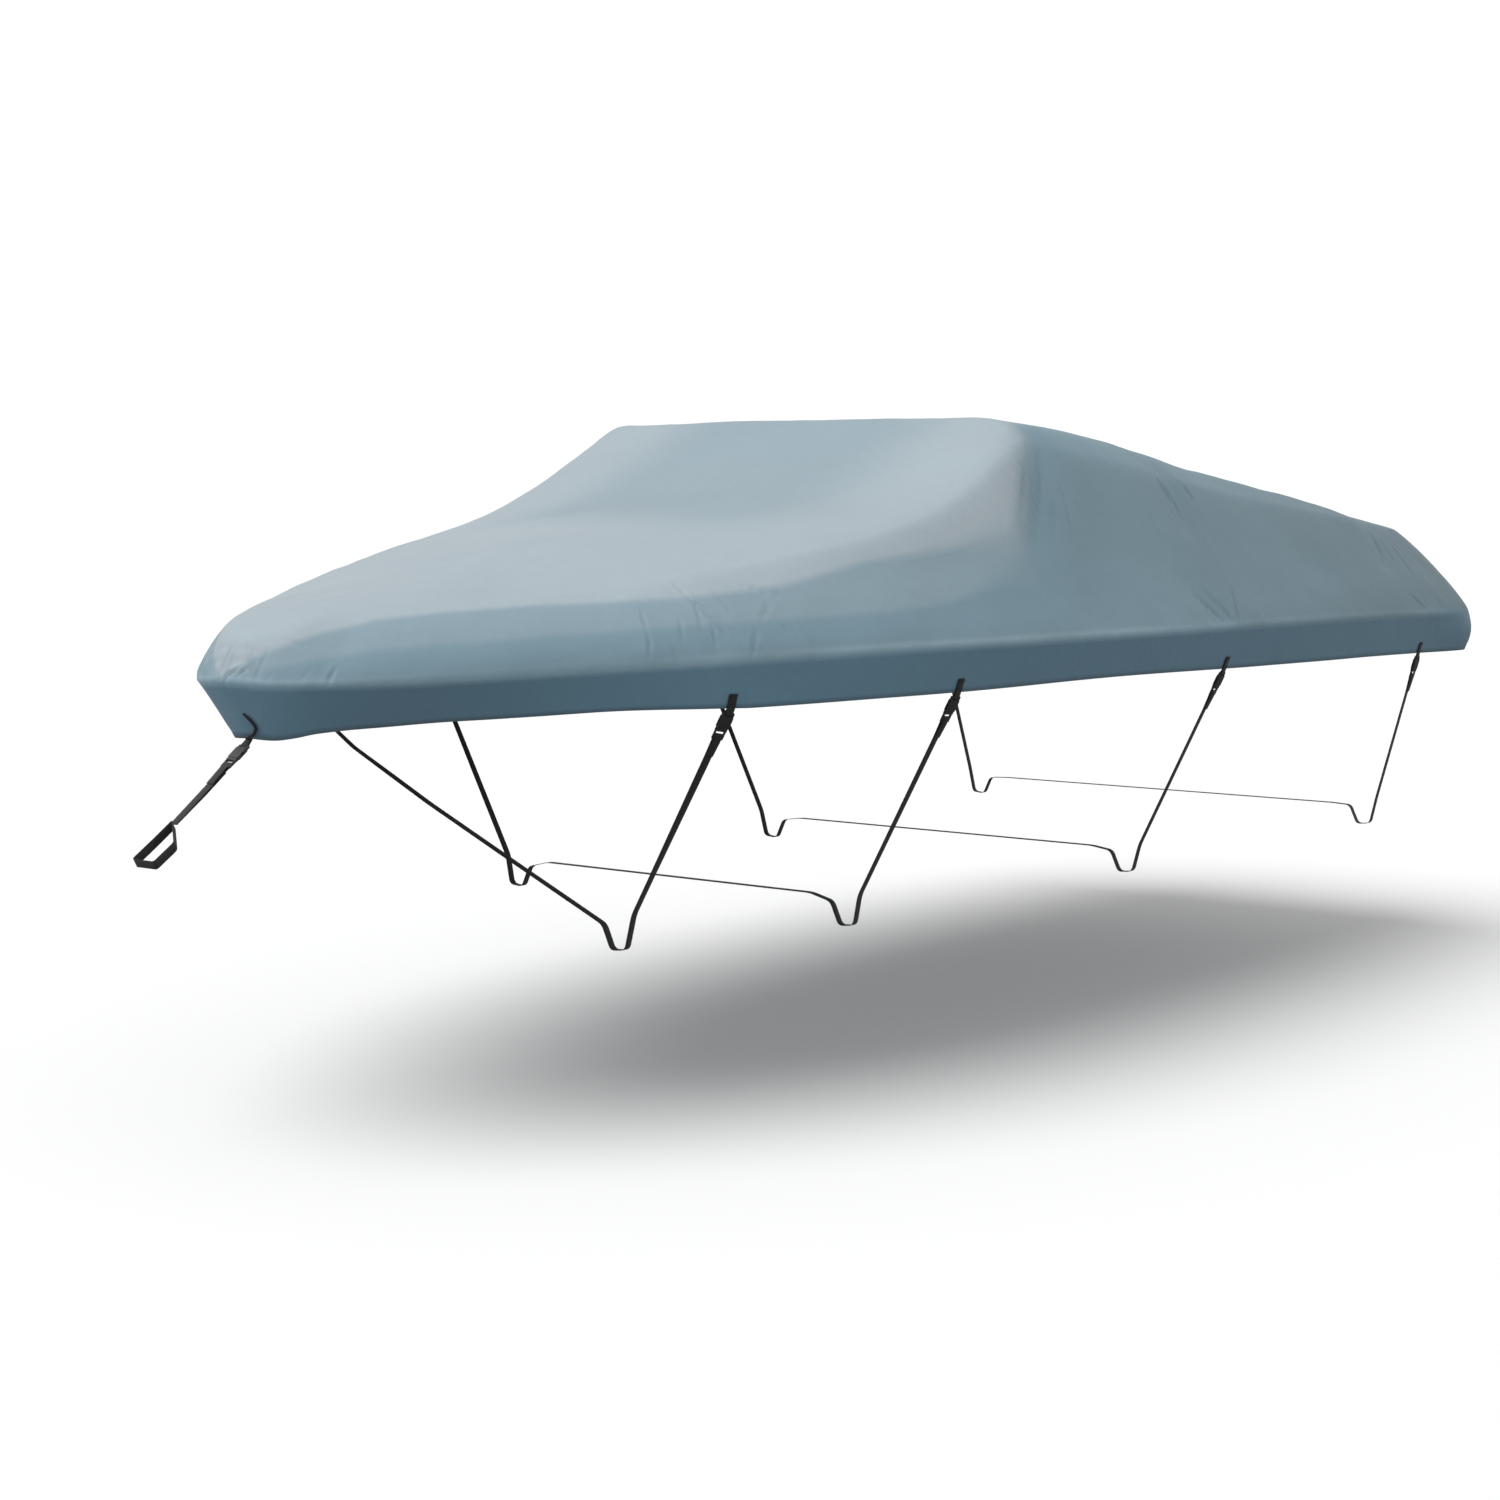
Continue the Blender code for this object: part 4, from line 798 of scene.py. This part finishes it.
def bleaching(grid, along, girth):
    """Painted light: the lit top in steps up the fore part and little on the aft slopes, and a fold
    highlight.
    """
    aft, out = grid[:, :, 0], np.abs(grid[:, :, 1])
    place = np.abs(along)[:, None]
    keys, low, high = by_column(PAINTED_LIGHT_EDGE)
    soft = 0.016 + 0.120 * eased(place, 2.30, 2.80)
    painted_light = np.zeros(girth.shape)
    for share, edge in ((PAINTED_LIGHT_STEP, low), (1.0 - PAINTED_LIGHT_STEP, high)):
        level = np.interp(place, keys, edge)
        painted_light = painted_light + share * eased(girth, level - soft, level + soft)
    # Painted highlight where the cloth turns over the gunwale fold.
    highlight_at_fold = FOLD_HIGHLIGHT * np.exp(-((girth / FOLD_HIGHLIGHT_HALF) ** 2)) * (girth > 0.0)
    middle = eased(aft, 1.25, 1.75) * (1.0 - eased(out, 0.30, 0.70))
    return np.maximum(painted_light, highlight_at_fold) * (1.0 - 0.45 * middle) * (1.0 - 0.95 * eased(aft, 2.62, 3.05))


def dye(aft, girth):
    """Painted shade, darker in steps towards the stern where less light falls, and a painted
    highlight at the fold.
    """
    fold = 1.0 + FOLD_PAINTED_HIGHLIGHT * np.exp(-((girth / FOLD_PAINTED_HIGHLIGHT_HALF) ** 2))
    skirt = stepped(aft, SKIRT_BOW_LIGHT, SKIRT_PAINTED_SHADE)
    return np.where(girth < 0.0, skirt, stepped(aft, 1.0, TOP_PAINTED_SHADE) * fold)


def enclosed_sign(points, quads, lining):
    total = 0.0
    for group in (quads, lining):
        a, b, c, d = (points[group[:, i]] for i in range(4))
        total += float(np.einsum("ij,ij->i", a, np.cross(b, c)).sum())
        total += float(np.einsum("ij,ij->i", a, np.cross(c, d)).sum())
    return total


def to_world(points):
    return np.asarray(points, float) - np.array([ORIGIN_AFT, 0.0, ORIGIN_UP])


def placed(name, data):
    """A new object of this name in the scene."""
    made = bpy.data.objects.new(name, data)
    bpy.context.scene.collection.objects.link(made)
    return made


def rounded(corners, radius, pieces):
    """The broken line with its corners eased over the given length each way."""
    corners = [np.asarray(c, float) for c in corners]
    path = [corners[0]]
    for before, here, after in zip(corners, corners[1:], corners[2:]):
        shorter = min(np.linalg.norm(here - before), np.linalg.norm(after - here))
        reach = min(radius, 0.45 * shorter)
        start = here + unit(before - here) * reach
        end = here + unit(after - here) * reach
        for i in range(pieces + 1):
            t = i / pieces
            path.append((1 - t) ** 2 * start + 2 * t * (1 - t) * here + t * t * end)
    path.append(corners[-1])
    return np.array(path)


def refined(path, longest):
    """The same line with no step over the given length."""
    out = [path[0]]
    for a, b in zip(path, path[1:]):
        count = max(1, int(math.ceil(np.linalg.norm(b - a) / longest)))
        for i in range(1, count + 1):
            out.append(a + (b - a) * i / count)
    return np.array(out)


def half_turn(centre, down, facing, radius=BAR_TURN, pieces=12, side=1.0):
    """Points round a bar, from its outward face to its inward face, by way of its far side."""
    points = []
    for i in range(pieces + 1):
        turn = math.pi * i / pieces
        out, along = radius * math.cos(turn), side * radius * math.sin(turn)
        points.append(centre + facing * out + down * along)
    return points


def hem_frame(along, side):
    """Hem point with the direction aft, the direction up the skirt and the outward normal there."""
    edge = skirt_point(np.array([along - 0.026, along + 0.026]), np.ones(2))
    aft = unit(edge[1] - edge[0])
    hem = edge.mean(axis=0)
    rise = unit(gunwale(np.array([along]))[0] - hem)
    outward = towards(unit(np.cross(rise, aft)), STARBOARD)
    flip = np.array([1.0, side, 1.0])
    return hem * flip, aft * flip, rise * flip, outward * flip


def skirt_outside(along, share, lift):
    """A point off the outside of the port skirt, for the draw cord."""
    near = 0.02
    places, shares = (along, along + near, along), (share, share, share - near)
    here, ahead, above = skirt_point(np.array(places), np.array(shares))
    normal = towards(unit(np.cross(above - here, ahead - here)), STARBOARD)
    return (here + normal * lift) * MIRROR


# ---------------------------------------------------------------- webbing
def tube_faces(count, sides, closed=False):
    """Faces over so many rings of points, with both ends capped unless the last meets the first."""
    faces = []
    for i in range(count if closed else count - 1):
        a, b = sides * i, sides * ((i + 1) % count)
        for k in range(sides):
            m = (k + 1) % sides
            faces.append((a + k, a + m, b + m, b + k))
    if not closed:
        faces.append(tuple(reversed(range(sides))))
        faces.append(tuple(range(sides * (count - 1), sides * count)))
    return faces


def webbing(name, node, path, across, width, stuff, held, closed=False):
    """Band with rounded edges along a path, with its run and its width as texture coordinates."""
    path = np.asarray(path, float)
    across = np.broadcast_to(np.asarray(across, float), path.shape)
    half, deep = width / 2, WEB / 2
    nib = min(deep, WEB_EDGE)
    section = []
    for side in (-1, 1):
        for face in (-1, 1):
            section.append((side * (half - nib), face * deep))
            section.append((side * half, face * (deep - nib * 0.6)))
    section.sort(key=lambda p: math.atan2(p[1] / deep, p[0] / half))
    steps = np.diff(path, axis=0)
    closing = path[:1] - path[-1:]
    ahead = np.concatenate([steps, closing if closed else steps[-1:]])
    back = np.concatenate([closing if closed else steps[:1], steps])
    run = run_along(path)
    vertices = []
    place = []
    for i in range(len(path)):
        wide = unit(across[i])
        first = unit(np.cross(back[i], wide))
        normal = unit(first + unit(np.cross(ahead[i], wide)))
        normal = normal / max(float(normal @ first), 0.5)
        for x, y in section:
            vertices.append(path[i] + wide * x + normal * y)
            place.append((run[i], x, y))
    faces = tube_faces(len(path), len(section), closed)
    made = finished_mesh(name, vertices, faces, place, stuff["webbing"])
    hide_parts(node)
    return made


def finished_mesh(name, vertices, faces, place, stuff):
    """The closed mesh with its faces outward, sharp over 40 degrees and smooth elsewhere."""
    points = to_world(vertices)
    total = 0.0
    for face in faces:
        for b, c in zip(face[1:], face[2:]):
            total += float(points[face[0]] @ np.cross(points[b], points[c]))
    if total < 0.0:
        faces = [tuple(reversed(f)) for f in faces]
    mesh = bpy.data.meshes.new(name)
    mesh.from_pydata(points.tolist(), [], faces)
    layer = mesh.attributes.new("on_cloth", "FLOAT_VECTOR", "POINT")
    layer.data.foreach_set("vector", np.array(place, np.float32).ravel())
    mesh.materials.append(stuff)
    mesh.shade_smooth()
    mesh.set_sharp_from_angle(angle=SHARP_ANGLE)
    return placed(name, mesh)


def bar_tacks(name, hem, along, facing, across, lift, levels, stuff):
    """Bar-tacks at levels up the hem: boxes of short threads pressed into the webbing."""
    length, width = TACK_LENGTH, TACK_WIDTH
    made = []
    for number, level in enumerate(levels):
        centre = hem + along * level + facing * lift
        vertices = []
        faces = []
        for i in range(TACK_THREADS):
            t = (i + 0.5) / TACK_THREADS - 0.5
            for row in (-0.5, 0.5):
                a = centre + along * (row * length) + across * (t * width)
                b = a + across * (width / TACK_THREADS * 0.62)
                start = len(vertices)
                for point in (a, b):
                    for s, h in ((-1, 0), (1, 0), (1, 1), (-1, 1)):
                        vertices.append(point + along * s * THREAD * 1.6 + facing * h * THREAD)
                faces += [tuple(start + v for v in face) for face in tube_faces(2, 4)]
        place = [(0.0, 0.0, 0.0)] * len(vertices)
        tack = finished_mesh(name + "_" + str(number), vertices, faces, place, stuff["thread"])
        made.append(tack)
    return made


def through_ladder(bar, down, facing, tail):
    """Webbing from its free end round the ladder bar, the point it leaves for, and that bar."""
    ladder = bar + down * LADDER_DOWN
    off = facing * (BAR_TURN + 0.0002)
    apart = facing * (LAYER * 0.75)
    loop = half_turn(ladder, down, facing, side=-1.0)
    head = [ladder + down * tail + apart, ladder + down * MEET + off]
    head += loop + [ladder + down * MEET - off]
    return head, ladder + down * tail - apart, ladder


def strap_pieces(number, row, stuff):
    """One tie-down strap and its tab, with their bar-tacks."""
    along, top_out, top_up, foot_out, foot_up, inner_out, inner_up, cross_up = row
    hem, aft, rise, outward = hem_frame(along, -1.0)
    far_hem, far_aft, far_rise, far_outward = hem_frame(along, 1.0)
    x = hem[0]
    low_bend = np.array([x, -top_out, top_up])
    bar = hem + outward * (GAP + WEB + GAP / 2) + unit(low_bend - hem) * BAR_BELOW_HEM
    down = unit(low_bend - bar)
    across = unit(aft - down * float(aft @ down))
    facing = towards(unit(np.cross(down, across)), -STARBOARD)
    label = "_" + str(number)

    over = outward * (GAP + WEB * 1.5 + GAP)
    under = outward * (GAP + WEB / 2)
    bend = half_turn(bar, down, facing)
    path = [hem + rise * SEWN + over, hem + over] + bend
    path += [hem + under, hem + rise * (SEWN - 0.004) + under]
    wide = [aft, aft] + [across] * len(bend) + [aft, aft]
    tab = webbing("fine_tab" + label, "hem_tab" + label, path, wide, STRAP_WIDTH, stuff, "folded")
    lift = GAP + WEB * 2.0 + GAP + 0.0001
    made = [tab]
    made += bar_tacks("tack" + label, hem, rise, outward, aft, lift, (0.010, 0.036), stuff)

    head, settle, _ = through_ladder(bar, down, facing, MEET + TAIL)
    bends = ((top_out, top_up), (foot_out, foot_up), (inner_out, inner_up))
    bends += ((inner_out - CLIMB_IN, inner_up + CLIMB_UP),)
    cross_out = inner_out - CROSS_IN
    starboard = ((-cross_out, cross_up), (cross_out, cross_up)) + bends[::-1]
    corners = [settle] + [(x, -out, up) for out, up in bends]
    corners += [(x, out, up) for out, up in (RISE if number == 1 else starboard)]
    sewn = far_hem + far_outward * (GAP + WEB / 2 + 0.0004)
    corners += [sewn - far_rise * 0.004, sewn + far_rise * SEWN]
    path = refined(np.array(head + list(rounded(corners, 0.016, 6))), 0.12)
    run = run_along(path)
    near = 1.0 - grown(run - 2.0 * (MEET + TAIL) - 0.012, TWIST)[:, None]
    far = 1.0 - grown(run[-1] - SEWN - run, TWIST)[:, None]
    wide = near * across + far * far_aft + (1.0 - near) * (1.0 - far) * AFTWARD
    names = ("fine_strap" + label, "tie_strap" + label)
    made.append(webbing(*names, path, wide, STRAP_WIDTH, stuff, "stretched"))
    lift = GAP + WEB + 0.0005
    tacks = ("far_tack" + label, far_hem, far_rise, far_outward, far_aft, lift, (0.008, 0.036))
    return made + bar_tacks(*tacks, stuff)


def cord_piece(name, node, path, radius, stuff, sides=14):
    """Round cord along a path, drawn in at both ends."""
    run = run_along(path)
    vertices = []
    place = []
    reference = np.array([1.0, 0.0, 0.3])
    last = len(path) - 1
    for i in range(len(path)):
        along = unit(path[min(i + 1, last)] - path[max(i - 1, 0)])
        first = unit(reference - along * float(reference @ along))
        second = np.cross(along, first)
        reference = first
        size = radius * (0.55 if i in (0, last) else 1.0)
        for k in range(sides):
            turn = 2.0 * math.pi * k / sides
            vertices.append(path[i] + size * (math.cos(turn) * first + math.sin(turn) * second))
            place.append((run[i], radius * turn, 0.0))
    made = finished_mesh(name, vertices, tube_faces(len(path), sides), place, stuff["cord"])
    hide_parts(node)
    return made


def midships(place, out=0.0):
    """The point given as aft and up, so far out to starboard."""
    return np.array([place[0], out, place[1]])


def bow_pieces(stuff):
    """Tab inside the stem, draw cord, and the bow strap with its sling."""
    bar, apex = midships(BOW_BAR), midships(BOW_APEX)
    down = unit(apex - bar)
    facing = towards(unit(np.cross(down, STARBOARD)), -AFTWARD)
    above, hem = skirt_point(np.zeros(2), np.array([0.0, 1.0]))
    rise = unit(above - hem)
    inside = towards(unit(np.cross(rise, STARBOARD)), AFTWARD)
    sewn = hem + inside * (CLOTH + 0.0023)
    second = sewn + inside * LAYER
    path = [sewn + rise * 0.030, sewn - rise * 0.005] + half_turn(bar, down, facing)
    path += [second - rise * 0.004, second + rise * 0.027]
    band = (BOW_STRAP_WIDTH, stuff)
    made = [webbing("fine_bow_tab", "bow_tab", path, STARBOARD, *band, "folded")]

    lift = CORD_RADIUS + 0.0008
    path = [skirt_outside(along, share, lift) for along, share in CORD_PATH]
    path.append(hem - inside * (lift + 0.0012) + rise * 0.004)
    path = rounded(path, 0.010, 6)
    made.append(cord_piece("fine_hem_cord", "hem_cord", path, CORD_RADIUS, stuff))

    head, settle, ladder = through_ladder(bar, down, facing, BOW_TAIL)
    foot = apex - down * 0.0030 - facing * (LAYER * 0.5)
    lower = foot - facing * (LAYER * 0.5)
    slack = apex - down * 0.120 - facing * (LAYER * 1.6 + PLY_SLACK)
    back = ladder + down * 0.026 - facing * (BAR_TURN + LAYER * 1.4)
    path = head + [settle] + half_turn(lower, down, facing, LAYER * 0.5, 8) + [slack, back]
    made.append(webbing("fine_bow_strap", "bow_strap", path, STARBOARD, *band, "stretched"))

    port = [midships(place, -SLING_HALF) for place in (SLING_BACK, SLING_FRONT)]
    corners = [lower + down * (LAYER * 0.5 + WEB - 0.0006)] + port
    corners += [point * MIRROR for point in port[::-1]]
    ring = []
    for i, here in enumerate(corners):
        turn = [corners[i - 1], here, corners[(i + 1) % len(corners)]]
        ring.extend(rounded(turn, 0.003 if i == 0 else 0.008, 8)[1:-1])
    axis = unit(midships(SLING_AXIS))
    made.append(webbing("fine_sling", "bow_sling", ring, axis, *band, "folded", closed=True))
    return made


def eased_buckles(stuff):
    """The moulded buckles, with their edges rounded over."""
    made = []
    for name in sorted(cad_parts):
        if "buckle" not in name:
            continue
        kind = "bow_" if name.startswith("bow_") else ""
        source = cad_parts[name]
        mesh = source.data.copy()
        mesh.name = "eased_" + name
        mesh.materials.clear()
        mesh.materials.append(stuff[kind + "plastic"])
        piece = placed("eased_" + name, mesh)
        piece.matrix_world = source.matrix_world
        piece.modifiers.new("weld", "WELD").merge_threshold = 0.00002
        ease = piece.modifiers.new("ease", "BEVEL")
        ease.width = EASED_EDGE
        ease.segments = 3
        ease.limit_method = "ANGLE"
        ease.angle_limit = math.radians(35.0)
        ease.harden_normals = False
        mesh.shade_smooth()
        mesh.set_sharp_from_angle(angle=SHARP_ANGLE)
        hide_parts(name)
        made.append(piece)
    return made


# ---------------------------------------------------------------- materials
class Nodes:
    """Short hand for building one node material."""

    def __init__(self, name, sockets):
        self.material = bpy.data.materials.new(name)
        self.material.use_nodes = True
        self.tree = self.material.node_tree
        self.shader = self.tree.nodes["Principled BSDF"].inputs
        self.feed(self.shader, sockets)

    def node(self, kind):
        return self.tree.nodes.new("ShaderNode" + kind)

    def feed(self, inputs, values):
        """Set each named or numbered socket to its number or colour, or link its output there."""
        for socket, value in values.items():
            if isinstance(value, (int, float, tuple)):
                inputs[socket].default_value = value
            else:
                self.tree.links.new(value, inputs[socket])

    def place(self):
        return self.node("TexCoord").outputs["Object"]

    def attribute(self, name, output="Fac"):
        node = self.node("Attribute")
        node.attribute_name = name
        return node.outputs[output]

    def maths(self, operation, *values):
        node = self.node("Math")
        node.operation = operation
        self.feed(node.inputs, dict(enumerate(values)))
        return node.outputs[0]

    def mix(self, factor, first, second, kind="MIX"):
        node = self.node("Mix")
        node.data_type = "RGBA"
        node.blend_type = kind
        self.feed(node.inputs, {"Factor": factor, 6: first, 7: second})
        return node.outputs[2]

    def toned(self, colour, tone):
        """The colour times a grey of this tone."""
        grey = self.node("CombineColor")
        self.feed(grey.inputs, {0: tone, 1: tone, 2: tone})
        return self.mix(1.0, colour, grey.outputs[0], "MULTIPLY")

    def noise(self, place, scale, detail, roughness=0.5, distortion=0.0):
        node = self.node("TexNoise")
        sizes = {"Scale": scale, "Detail": detail, "Roughness": roughness}
        self.feed(node.inputs, {**sizes, "Distortion": distortion, "Vector": place})
        return node.outputs["Fac"]

    def waves(self, along, across):
        """Waves of these lengths along the cloth and across it."""
        parts = self.node("SeparateXYZ")
        self.feed(parts.inputs, {0: self.attribute("on_cloth", "Vector")})
        return [
            self.maths("SINE", self.maths("MULTIPLY", parts.outputs[axis], 2.0 * math.pi / size))
            for axis, size in (("X", along), ("Y", across))
        ]

    def bump(self, height, strength, distance, before=None):
        node = self.node("Bump")
        self.feed(node.inputs, {"Strength": strength, "Distance": distance, "Height": height})
        if before is not None:
            self.feed(node.inputs, {"Normal": before})
        return node.outputs["Normal"]


def cloth_material():
    sheen = {"Sheen Weight": 0.12, "Sheen Roughness": 0.45}
    n = Nodes("cover_weave", {"Roughness": 0.68, "Specular IOR Level": 0.35, **sheen})
    place = n.place()
    # Painted light: the top's lit colour laid over the side colour where the top faces the light.
    colour = n.mix(n.attribute("painted_light"), (*SIDE_COLOUR, 1.0), (*LIT_TOP_COLOUR, 1.0))
    # Painted shade: the skirt's shaded colour over the cloth below the fold.
    colour = n.mix(n.attribute("skirt"), colour, (*SKIRT_SHADE_COLOUR, 1.0))
    tone = n.maths("MULTIPLY_ADD", n.noise(place, 2.3, 3.0, 0.55), 0.10, 0.95)
    fine = n.maths("MULTIPLY_ADD", n.noise(place, 38.0, 5.0, 0.6), 0.08, 0.96)
    # Random tone times the painted shade and highlight carried on the cloth.
    tone = n.maths("MULTIPLY", n.maths("MULTIPLY", tone, fine), n.attribute("dye"))
    # The small crumple left by packing, then warp and weft of the woven cloth.
    normal = n.bump(n.noise(place, 7.0, 4.0, 0.55, 0.3), 0.30, 0.010)
    normal = n.bump(n.noise(place, 30.0, 4.0, 0.6, 0.4), 0.22, 0.0030, normal)
    normal = n.bump(n.maths("MULTIPLY", *n.waves(YARN, YARN)), 0.12, 0.0003, normal)
    n.feed(n.shader, {"Base Color": n.toned(colour, tone), "Normal": normal})
    return n.material


def webbing_material(name, colour):
    n = Nodes(name, {"Roughness": 0.62, "Specular IOR Level": 0.4, "Sheen Weight": 0.10})
    rib, line = n.waves(RIB, LINE)
    height = n.maths("MULTIPLY_ADD", line, 0.45, rib)
    tone = n.maths("MULTIPLY_ADD", n.noise(n.place(), 60.0, 4.0, 0.6), 0.5, 0.75)
    # The tone follows the weave's height: painted shade in its troughs, painted light on its ribs.
    tone = n.maths("MULTIPLY_ADD", height, 0.10, tone)
    base = n.toned((*colour, 1.0), tone)
    n.feed(n.shader, {"Base Color": base, "Normal": n.bump(height, 0.5, 0.0004)})
    return n.material


def plastic_material(name, colour, roughness):
    n = Nodes(name, {"Base Color": (*colour, 1.0)})
    place = n.place()
    wear = n.maths("MULTIPLY_ADD", n.noise(place, 120.0, 3.0, 0.5), 0.18, roughness - 0.09)
    normal = n.bump(n.noise(place, 900.0, 2.0), 0.12, 0.0003)
    n.feed(n.shader, {"Roughness": wear, "Normal": normal})
    return n.material


def plain_material(name, colour, roughness):
    return Nodes(name, {"Base Color": (*colour, 1.0), "Roughness": roughness}).material


# ---------------------------------------------------------------- stage, light and camera
def stage_and_light():
    ground = -GROUND_DROP - ORIGIN_UP
    reach = FLOOR_REACH
    mesh = bpy.data.meshes.new("studio_floor")
    corners = [(-reach, -reach), (reach, -reach), (reach, reach), (-reach, reach)]
    mesh.from_pydata([(*corner, ground) for corner in corners], [], [(0, 1, 2, 3)])
    mesh.materials.append(plain_material("studio_floor", (0.90, 0.90, 0.90), 0.9))
    floor = placed("studio_floor", mesh)
    floor.visible_diffuse = False
    floor.visible_glossy = False
    floor.visible_shadow = False

    world = bpy.data.worlds.new("studio")
    bpy.context.scene.world = world
    world.use_nodes = True
    tree = world.node_tree
    kinds = ("TexCoord", "SeparateXYZ", "Math", "ValToRGB")
    place, split, half, ramp = (tree.nodes.new("ShaderNode" + kind) for kind in kinds)
    half.operation = "MULTIPLY_ADD"
    half.inputs[1].default_value = 0.5
    half.inputs[2].default_value = 0.5
    ramp.color_ramp.interpolation = "LINEAR"
    while len(ramp.color_ramp.elements) < len(SKY):
        ramp.color_ramp.elements.new(0.5)
    for element, (where, value) in zip(ramp.color_ramp.elements, SKY):
        element.position = where
        element.color = (value, value, value, 1.0)
    tree.links.new(place.outputs["Generated"], split.inputs[0])
    tree.links.new(split.outputs["Z"], half.inputs[0])
    tree.links.new(half.outputs[0], ramp.inputs["Fac"])
    tree.links.new(ramp.outputs["Color"], tree.nodes["Background"].inputs["Color"])

    lamp = bpy.data.lights.new("key", "SUN")
    lamp.energy = SUN_POWER
    lamp.angle = math.radians(SUN_ANGLE)
    sun = placed("key", lamp)
    sun.rotation_mode = "QUATERNION"
    sun.rotation_quaternion = Vector(SUN_FROM).to_track_quat("Z", "Y")

    view = bpy.data.cameras.new("camera")
    view.lens = CAMERA_LENS
    view.sensor_width = 36.0
    view.sensor_fit = "HORIZONTAL"
    view.clip_end = 6000.0
    camera = placed("camera", view)
    aft, out, up = CAMERA_PLACE
    camera.location = (aft - ORIGIN_AFT, out, up - GROUND_DROP - ORIGIN_UP)
    camera.rotation_euler = [math.radians(a) for a in CAMERA_TURN]
    scene = bpy.context.scene
    scene.camera = camera
    scene.view_settings.view_transform = "Standard"
    scene.view_settings.look = "None"


def main():
    stage_and_light()
    stuff = {
        "cloth": cloth_material(),
        "webbing": webbing_material("webbing_weave", (0.020, 0.020, 0.022)),
        "cord": webbing_material("cord_braid", (0.012, 0.013, 0.020)),
        "plastic": plastic_material("buckle_moulding", (0.025, 0.025, 0.028), 0.42),
        # painted highlight: the bow buckle is given a lighter grey than the other buckles, standing
        # in for the highlights it catches
        "bow_plastic": plastic_material("bow_buckle_moulding", (0.060, 0.058, 0.060), 0.45),
        "thread": plain_material("thread", (0.006, 0.006, 0.007), 0.8),
    }
    cloth = fine_cloth(stuff)
    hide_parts("cover_cloth")
    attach(cloth, "root")
    pieces = []
    for number, row in enumerate(STRAPS, start=1):
        pieces += strap_pieces(number, row, stuff)
    pieces += bow_pieces(stuff)
    pieces += eased_buckles(stuff)
    for piece in pieces:
        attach(piece, "root")


main()
